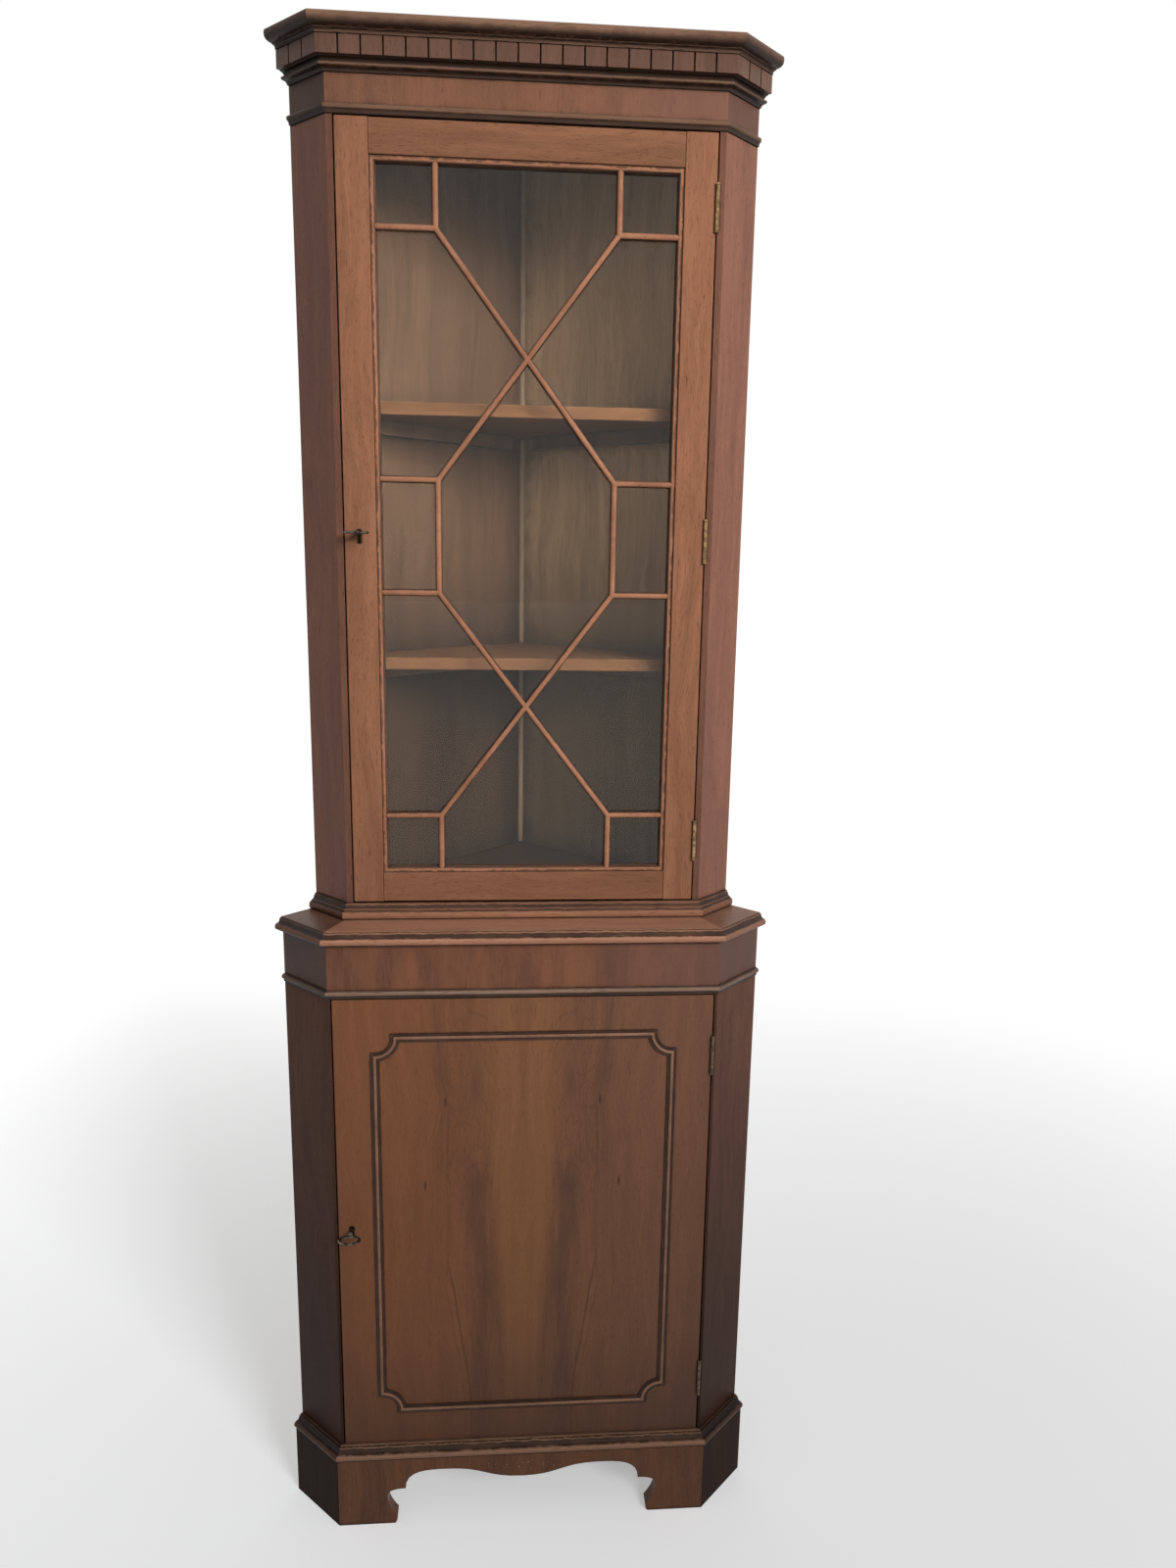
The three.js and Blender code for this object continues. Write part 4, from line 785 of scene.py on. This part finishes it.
def slotted_head(centre, outward, radius, slot_angle):
    """A countersunk screw's head: a shallow dome crossed by a slot, facing outward."""
    proud = radius * 0.06
    crown = 0.86  # how wide the flat of the dome is, against its rim
    half_slot = radius * 0.13
    floor = -radius * 0.22
    steps = 10
    limit = math.asin(half_slot / radius)
    reach = radius * math.cos(limit)
    vertices = []
    faces = []
    for side in (1, -1):
        start = len(vertices)
        edge = [limit + (math.pi - 2 * limit) * i / steps for i in range(steps + 1)]
        outline = [(radius * math.cos(a), side * radius * math.sin(a)) for a in edge]
        bank = side * half_slot
        vertices += [(x, y, 0.0) for x, y in outline]
        vertices += [(x * crown, bank + (y - bank) * crown, proud) for x, y in outline]
        count = len(outline)
        for i in range(count - 1):
            faces.append((start + i, start + i + 1, start + count + i + 1, start + count + i))
        faces.append(tuple(start + count + i for i in range(count)))
        ends = (start + count - 1, start, start + count, start + 2 * count - 1)
        base = len(vertices)
        vertices += [(vertices[i][0], vertices[i][1], floor) for i in ends[:2]]
        faces.append((ends[0], ends[3], ends[2], ends[1]))
        faces.append((ends[1], base + 1, base, ends[0]))
    start = len(vertices)
    vertices += [(-reach, -half_slot, floor), (reach, -half_slot, floor), (reach, half_slot, floor),
                 (-reach, half_slot, floor)]
    faces.append((start, start + 1, start + 2, start + 3))
    turn = Vector((0, 0, 1)).rotation_difference(Vector(outward)).to_matrix()
    spin = Matrix.Rotation(slot_angle, 3, "Z")
    return [Vector(centre) + turn @ (spin @ Vector(v)) for v in vertices], faces


def hinge_screws():
    """Three screws in each leaf, seen in the gap when a door stands open."""
    head_radius = 0.0026
    spacing = 0.0165
    from_edge = 0.0062  # of the outer two, from the back edge of the leaf
    stagger = 0.0018  # how much further in the middle one stands
    plain_edge = 0.004  # the strip along the back edge, clear of the knuckles
    for name in hinge_names:
        door = name.split("_")[0] + "_door"
        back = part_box(name + "_case_leaf")[1].y
        for leaf, body, outward in (("case_leaf", "root", -1), ("door_leaf", door, 1)):
            low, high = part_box(f"{name}_{leaf}")
            corners = [v.co for v in frame["nodes"][f"{name}_{leaf}"].data.vertices]
            face = outward * max(outward * v.x for v in corners if v.y > back - plain_edge)
            heads = []
            for i in range(3):
                inset = stagger if i == 1 else 0.0
                centre = (face, back - from_edge - inset, (low.z + high.z) / 2 + (i - 1) * spacing)
                slot_angle = 0.4 + 1.1 * i  # no two slots stand alike
                heads.append(slotted_head(centre, (outward, 0, 0), head_radius, slot_angle))
            new_piece(f"{name}_{leaf}_screws", *gathered(heads), screw_brass, body, "brass")


hinge_screws()


# Locks. Cut brass locks let into the back of each door with a flat bolt, and a thin brass rim in each
# keyhole. Two screws hold the edge of each lock and two its cover.
lock_brass = metal("lock_brass", tint(176, 150, 98), tint(128, 106, 68), tint(24, 18, 13), 0.4, reach=0.012)
rim_brass = metal("rim_brass", tint(104, 80, 58), tint(60, 46, 36), tint(20, 15, 12), 0.5)
lock_screw_radius = 0.0021
screw_margin = 0.005  # from the edges of the lock
for case in ("upper", "lower"):
    dress(lock_brass, case + "_lock", case + "_bolt")
    dress(rim_brass, case + "_escutcheon")
    low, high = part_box(case + "_lock")
    bolt_low, bolt_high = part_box(case + "_bolt")
    middle = (low.y + high.y) / 2
    levels = ((low.z + bolt_low.z) / 2 - screw_margin, (high.z + bolt_high.z) / 2)
    heads = [slotted_head((low.x, middle, z), (-1, 0, 0), lock_screw_radius, 0.9 * i)
             for i, z in enumerate(levels)]
    new_piece(case + "_lock_edge_screws", *gathered(heads), screw_brass, case + "_door", "brass")
    cover = [slotted_head((high.x - screw_margin, high.y, z), (0, 1, 0), lock_screw_radius, 0.6 + i)
             for i, z in enumerate((high.z - screw_margin, low.z + screw_margin))]
    new_piece(case + "_lock_cover_screws", *gathered(cover), screw_brass, case + "_door", "brass")


# Keys. Cast keys in bronzed steel, left in the locks as pulls: an oval bow with a flattened rim, a
# collared shank and a bit inside the lock. Each turns in its lock and stands for its CAD solid.
key_steel = metal("key_steel", tint(100, 94, 83), tint(40, 37, 33), tint(12, 11, 10), 0.34)
bow_long = 0.02
bow_thick = 0.0033
bow_rim = 0.0036


def boxier(value):
    """Makes a sine or cosine draw a fuller curve than a circle's."""
    return math.copysign(abs(value) ** 0.8, value)


def oval_bow(centre, half_wide):
    """A ring that lies flat, with a rounded rim that swells a little at each side."""
    steps = 56
    round_steps = 14
    vertices = []
    faces = []
    for i in range(steps):
        angle = 2 * math.pi * i / steps
        swell = 1 + 0.12 * abs(math.cos(angle)) ** 3
        far = (i + 1) % steps * round_steps
        near = i * round_steps
        for k in range(round_steps):
            turn = 2 * math.pi * k / round_steps
            inward = bow_rim / 2 * (1 - boxier(math.cos(turn)) * swell)
            rise = bow_thick / 2 * boxier(math.sin(turn))
            x = centre[0] + (half_wide - inward) * math.cos(angle)
            y = centre[1] + (bow_long / 2 - inward) * math.sin(angle)
            vertices.append((x, y, centre[2] + rise))
            faces.append((near + k, far + k, far + (k + 1) % round_steps, near + (k + 1) % round_steps))
    return vertices, faces


def turned(profile, steps=28):
    """Vertices and faces of a piece turned about Z; the profile is (radius, height) from axis to axis."""
    vertices = []
    faces = []
    count = len(profile)
    for i in range(steps):
        angle = 2 * math.pi * i / steps
        vertices += [(r * math.cos(angle), r * math.sin(angle), h) for r, h in profile]
        here = i * count
        there = (i + 1) % steps * count
        faces += [(here + k, there + k, there + k + 1, here + k + 1) for k in range(count - 1)]
    return vertices, faces


def prism(outline, low, high):
    """An outline in x and y, drawn straight up between two levels."""
    count = len(outline)
    vertices = [(x, y, z) for z in (low, high) for x, y in outline]
    faces = [tuple(range(count)), tuple(range(count, 2 * count))]
    faces += [(i, (i + 1) % count, count + (i + 1) % count, count + i) for i in range(count)]
    return vertices, faces


def key_shank(length):
    """Two collars under the bow, a plain shank, and a bore in its end, as a pipe key has."""
    radius = 0.0023
    bore = 0.0012
    bore_end = length - 0.008
    chamfer = 0.0004
    collars = [(0.0019, 0), (0.0021, 0.0012), (0.0033, 0.0022), (0.0036, 0.003), (0.0033, 0.0038),
               (radius, 0.0046), (0.0022, 0.0056), (0.0028, 0.0062), (0.0028, 0.007), (radius, 0.0076)]
    return turned([(0, 0), *collars, (radius, length - chamfer), (radius - chamfer, length), (bore, length),
                   (bore, bore_end), (0, bore_end)])


def key_bit(axis, end):
    """A flat bit with a ward cut in its outer edge."""
    thickness = 0.0019
    near, far = end - 0.0063, end - 0.0002
    inner, outer = axis.x + 0.0015, axis.x + 0.0079
    ward = outer - 0.0016
    cut_from, cut_to = (near + (far - near) * share for share in (0.38, 0.55))
    outline = [(inner, near), (outer, near), (outer, cut_from), (ward, cut_from), (ward, cut_to),
               (outer, cut_to), (outer, far), (inner, far)]
    return prism(outline, axis.z - thickness / 2, axis.z + thickness / 2)


for case in ("upper", "lower"):
    low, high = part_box(case + "_key")
    pivot = next(Vector(j["pos_m"]) for j in frame["joints"] if j["name"] == case + "_key_turn")
    bow = oval_bow((pivot.x, low.y + bow_long / 2, pivot.z), (high.x - low.x) / 2)
    neck = low.y + bow_long - bow_rim / 2
    lay = Matrix.Translation((pivot.x, neck, pivot.z)) @ Matrix.Rotation(-math.pi / 2, 4, "X")
    vertices, faces = key_shank(high.y - neck)
    shank = ([lay @ Vector(v) for v in vertices], faces)
    bit = key_bit(pivot, high.y)
    key = new_piece(case + "_key_cast", *gathered([bow, shank, bit]), key_steel, case + "_key", "key_metal")
    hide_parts(case + "_key")


# Fixings of the backs. Small steel pins hold the thin backs all round; their heads show from behind, a
# little rusty, in a straight row near each edge. A pale quadrant bead is glued over the joint of the two
# backs in the rear corner, in lengths cut to fit between the boards.
pin_steel = metal("pin_steel", tint(150, 138, 122), tint(96, 78, 62), tint(48, 34, 26), 0.5)


def pin_rows(node):
    """Heads along the four sides of a back panel's outer face."""
    spacing = 0.09
    from_edge = 0.009
    head = [(0, 0.00035), (0.0006, 0.0003), (0.0011, 0.0001), (0.0012, 0.0), (0.0, 0.0)]
    low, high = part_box(node)
    side = 1 if node.endswith("right") else -1
    wall = max(side * v.co.x + v.co.y for v in frame["nodes"][node].data.vertices)
    first = from_edge
    last = max(high.x, -low.x) - from_edge
    foot = low.z + from_edge
    rise = high.z - low.z - 2 * from_edge
    spots = []
    for z in (foot, high.z - from_edge):
        count = max(2, round((last - first) * math.sqrt(2) / spacing))
        spots += [(first + (last - first) * i / count, z) for i in range(count + 1)]
    for x in (first, last):
        count = round(rise / spacing)
        spots += [(x, foot + rise * i / count) for i in range(1, count)]
    turn = Vector((0, 0, 1)).rotation_difference(Vector((side, 1, 0)).normalized()).to_matrix()
    vertices, faces = turned(head, 10)
    parts = []
    for x, z in spots:
        centre = Vector((side * x, wall - x, z))
        parts.append(([centre + turn @ Vector(v) for v in vertices], faces))
    return gathered(parts)


for node in ("lower_back_left", "lower_back_right", "upper_back_left", "upper_back_right"):
    new_piece(node + "_pins", *pin_rows(node), pin_steel, "root", "key_metal")

bead_wood = mahogany("bead_wood", tint(108, 88, 70), tint(136, 113, 92), contrast=0.8, wear=0.2, hollow=0.4,
                     shine=0.03)


def corner_bead(case, below, above):
    """One length of quadrant bead between two boards, a hair clear of them and of the backs."""
    radius = 0.0052
    steps = 10
    near_corner = 0.001
    foot_gap = 0.0003
    head_gap = 0.0006
    vertices = frame["nodes"][case + "_back_right"].data.vertices
    corner = min(v.co.y for v in vertices if v.co.x < near_corner)
    outline = [(0.0, corner)]
    for i in range(steps + 1):
        angle = math.pi / 2 * (i / steps - 0.5)
        outline.append((radius * math.sin(angle), corner - radius * math.cos(angle)))
    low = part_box(below)[1].z + foot_gap
    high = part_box(above)[0].z - head_gap
    new_piece(f"corner_bead_over_{below}", *prism(outline, low, high), bead_wood, "root", "back_wood")


for case, boards in (("lower", ("base_board", "lower_shelf", "waist_board")),
                     ("upper", ("upper_bottom_board", "upper_shelf_low", "upper_shelf_high", "top_board"))):
    for below, above in zip(boards, boards[1:]):
        corner_bead(case, below, above)


# Studio. A pale floor, one large soft lamp in front, high and to the right, and soft light from the room.
# The panes mirror the room and not the lamp. The view is the photograph's: from breast height, looking
# down a little.
def shown_rays(tree):
    """1 for rays from the camera and for those that metal and glass send on."""
    rays = put(tree, "LightPath").outputs
    seen = worked_out(tree, "MAXIMUM", rays["Is Camera Ray"], rays["Is Glossy Ray"])
    return worked_out(tree, "MAXIMUM", seen, rays["Is Transmission Ray"])


def pale_floor():
    """The floor as it is seen, whiter with distance, and a duller one for the light it throws back."""
    size = 30.0
    mesh = bpy.data.meshes.new("floor")
    mesh.from_pydata([(-size, -size, 0), (size, -size, 0), (size, size, 0), (-size, size, 0)], [],
                     [(0, 1, 2, 3)])
    floor = bpy.data.objects.new("floor", mesh)
    bpy.context.scene.collection.objects.link(floor)
    material, tree, place = new_material("pale_floor")
    shader_of(tree)["Roughness"].default_value = 0.9
    away = put(tree, "VectorMath", {0: place}, operation="LENGTH").outputs["Value"]
    whiter = ramp(tree, away, 0.3, 3.0, 0.35, 0.8)
    glow = put(tree, "Emission", {"Strength": whiter})
    pale = put(tree, "AddShader", {0: tree.nodes["Principled BSDF"].outputs[0], 1: glow.outputs[0]})
    dull = put(tree, "BsdfDiffuse", {"Color": (0.35, 0.34, 0.33, 1.0)})
    both = put(tree, "MixShader", {0: shown_rays(tree), 1: dull.outputs[0], 2: pale.outputs[0]})
    tree.links.new(both.outputs[0], tree.nodes["Material Output"].inputs["Surface"])
    mesh.materials.append(material)


def room_light(below, above):
    """Even light that is stronger from the ceiling; the background itself is shown white."""
    world = bpy.data.worlds.new("room")
    bpy.context.scene.world = world
    world.use_nodes = True
    tree = world.node_tree
    rise = part_of(tree, put(tree, "TexCoord").outputs["Generated"], "Z")
    limits = {"Value": shown_rays(tree), "To Min": ramp(tree, rise, -0.2, 0.9, below, above)}
    background = tree.nodes["Background"].inputs
    background["Color"].default_value = (1.0, 1.0, 1.0, 1.0)
    tree.links.new(put(tree, "MapRange", limits).outputs[0], background["Strength"])


def soft_lamp(place, target):
    light = bpy.data.lights.new("key_lamp", "AREA")
    light.size = 1.2
    light.energy = 18.4
    light.spread = math.radians(60)
    light.color = (0.95, 0.97, 1.0)
    lamp = bpy.data.objects.new("key_lamp", light)
    lamp.location = place
    lamp.rotation_euler = (target - place).to_track_quat("-Z", "Y").to_euler()
    lamp.visible_glossy = False
    bpy.context.scene.collection.objects.link(lamp)


pale_floor()
room_light(below=0.09, above=0.4)
soft_lamp(place=Vector((1.45, -2.7, 2.4)), target=Vector((0.0, -0.1, 1.5)))

eye = (-0.0329, -1.5597, 1.3716)
focal_pixels = 1137.2
frame_pixels = 1600
yaw, pitch, roll = (math.radians(angle) for angle in (4.6, 11.7, 0.97))
aim = Matrix.Rotation(-yaw, 4, "Z") @ Matrix.Rotation(math.pi / 2 - pitch, 4, "X")
lens = bpy.data.cameras.new("photo_view")
lens.sensor_width = 36.0
lens.lens = focal_pixels / frame_pixels * lens.sensor_width
camera = bpy.data.objects.new("photo_view", lens)
camera.matrix_world = Matrix.Translation(eye) @ aim @ Matrix.Rotation(roll, 4, "Z")
bpy.context.scene.collection.objects.link(camera)
bpy.context.scene.camera = camera
bpy.context.scene.view_settings.view_transform = "Standard"
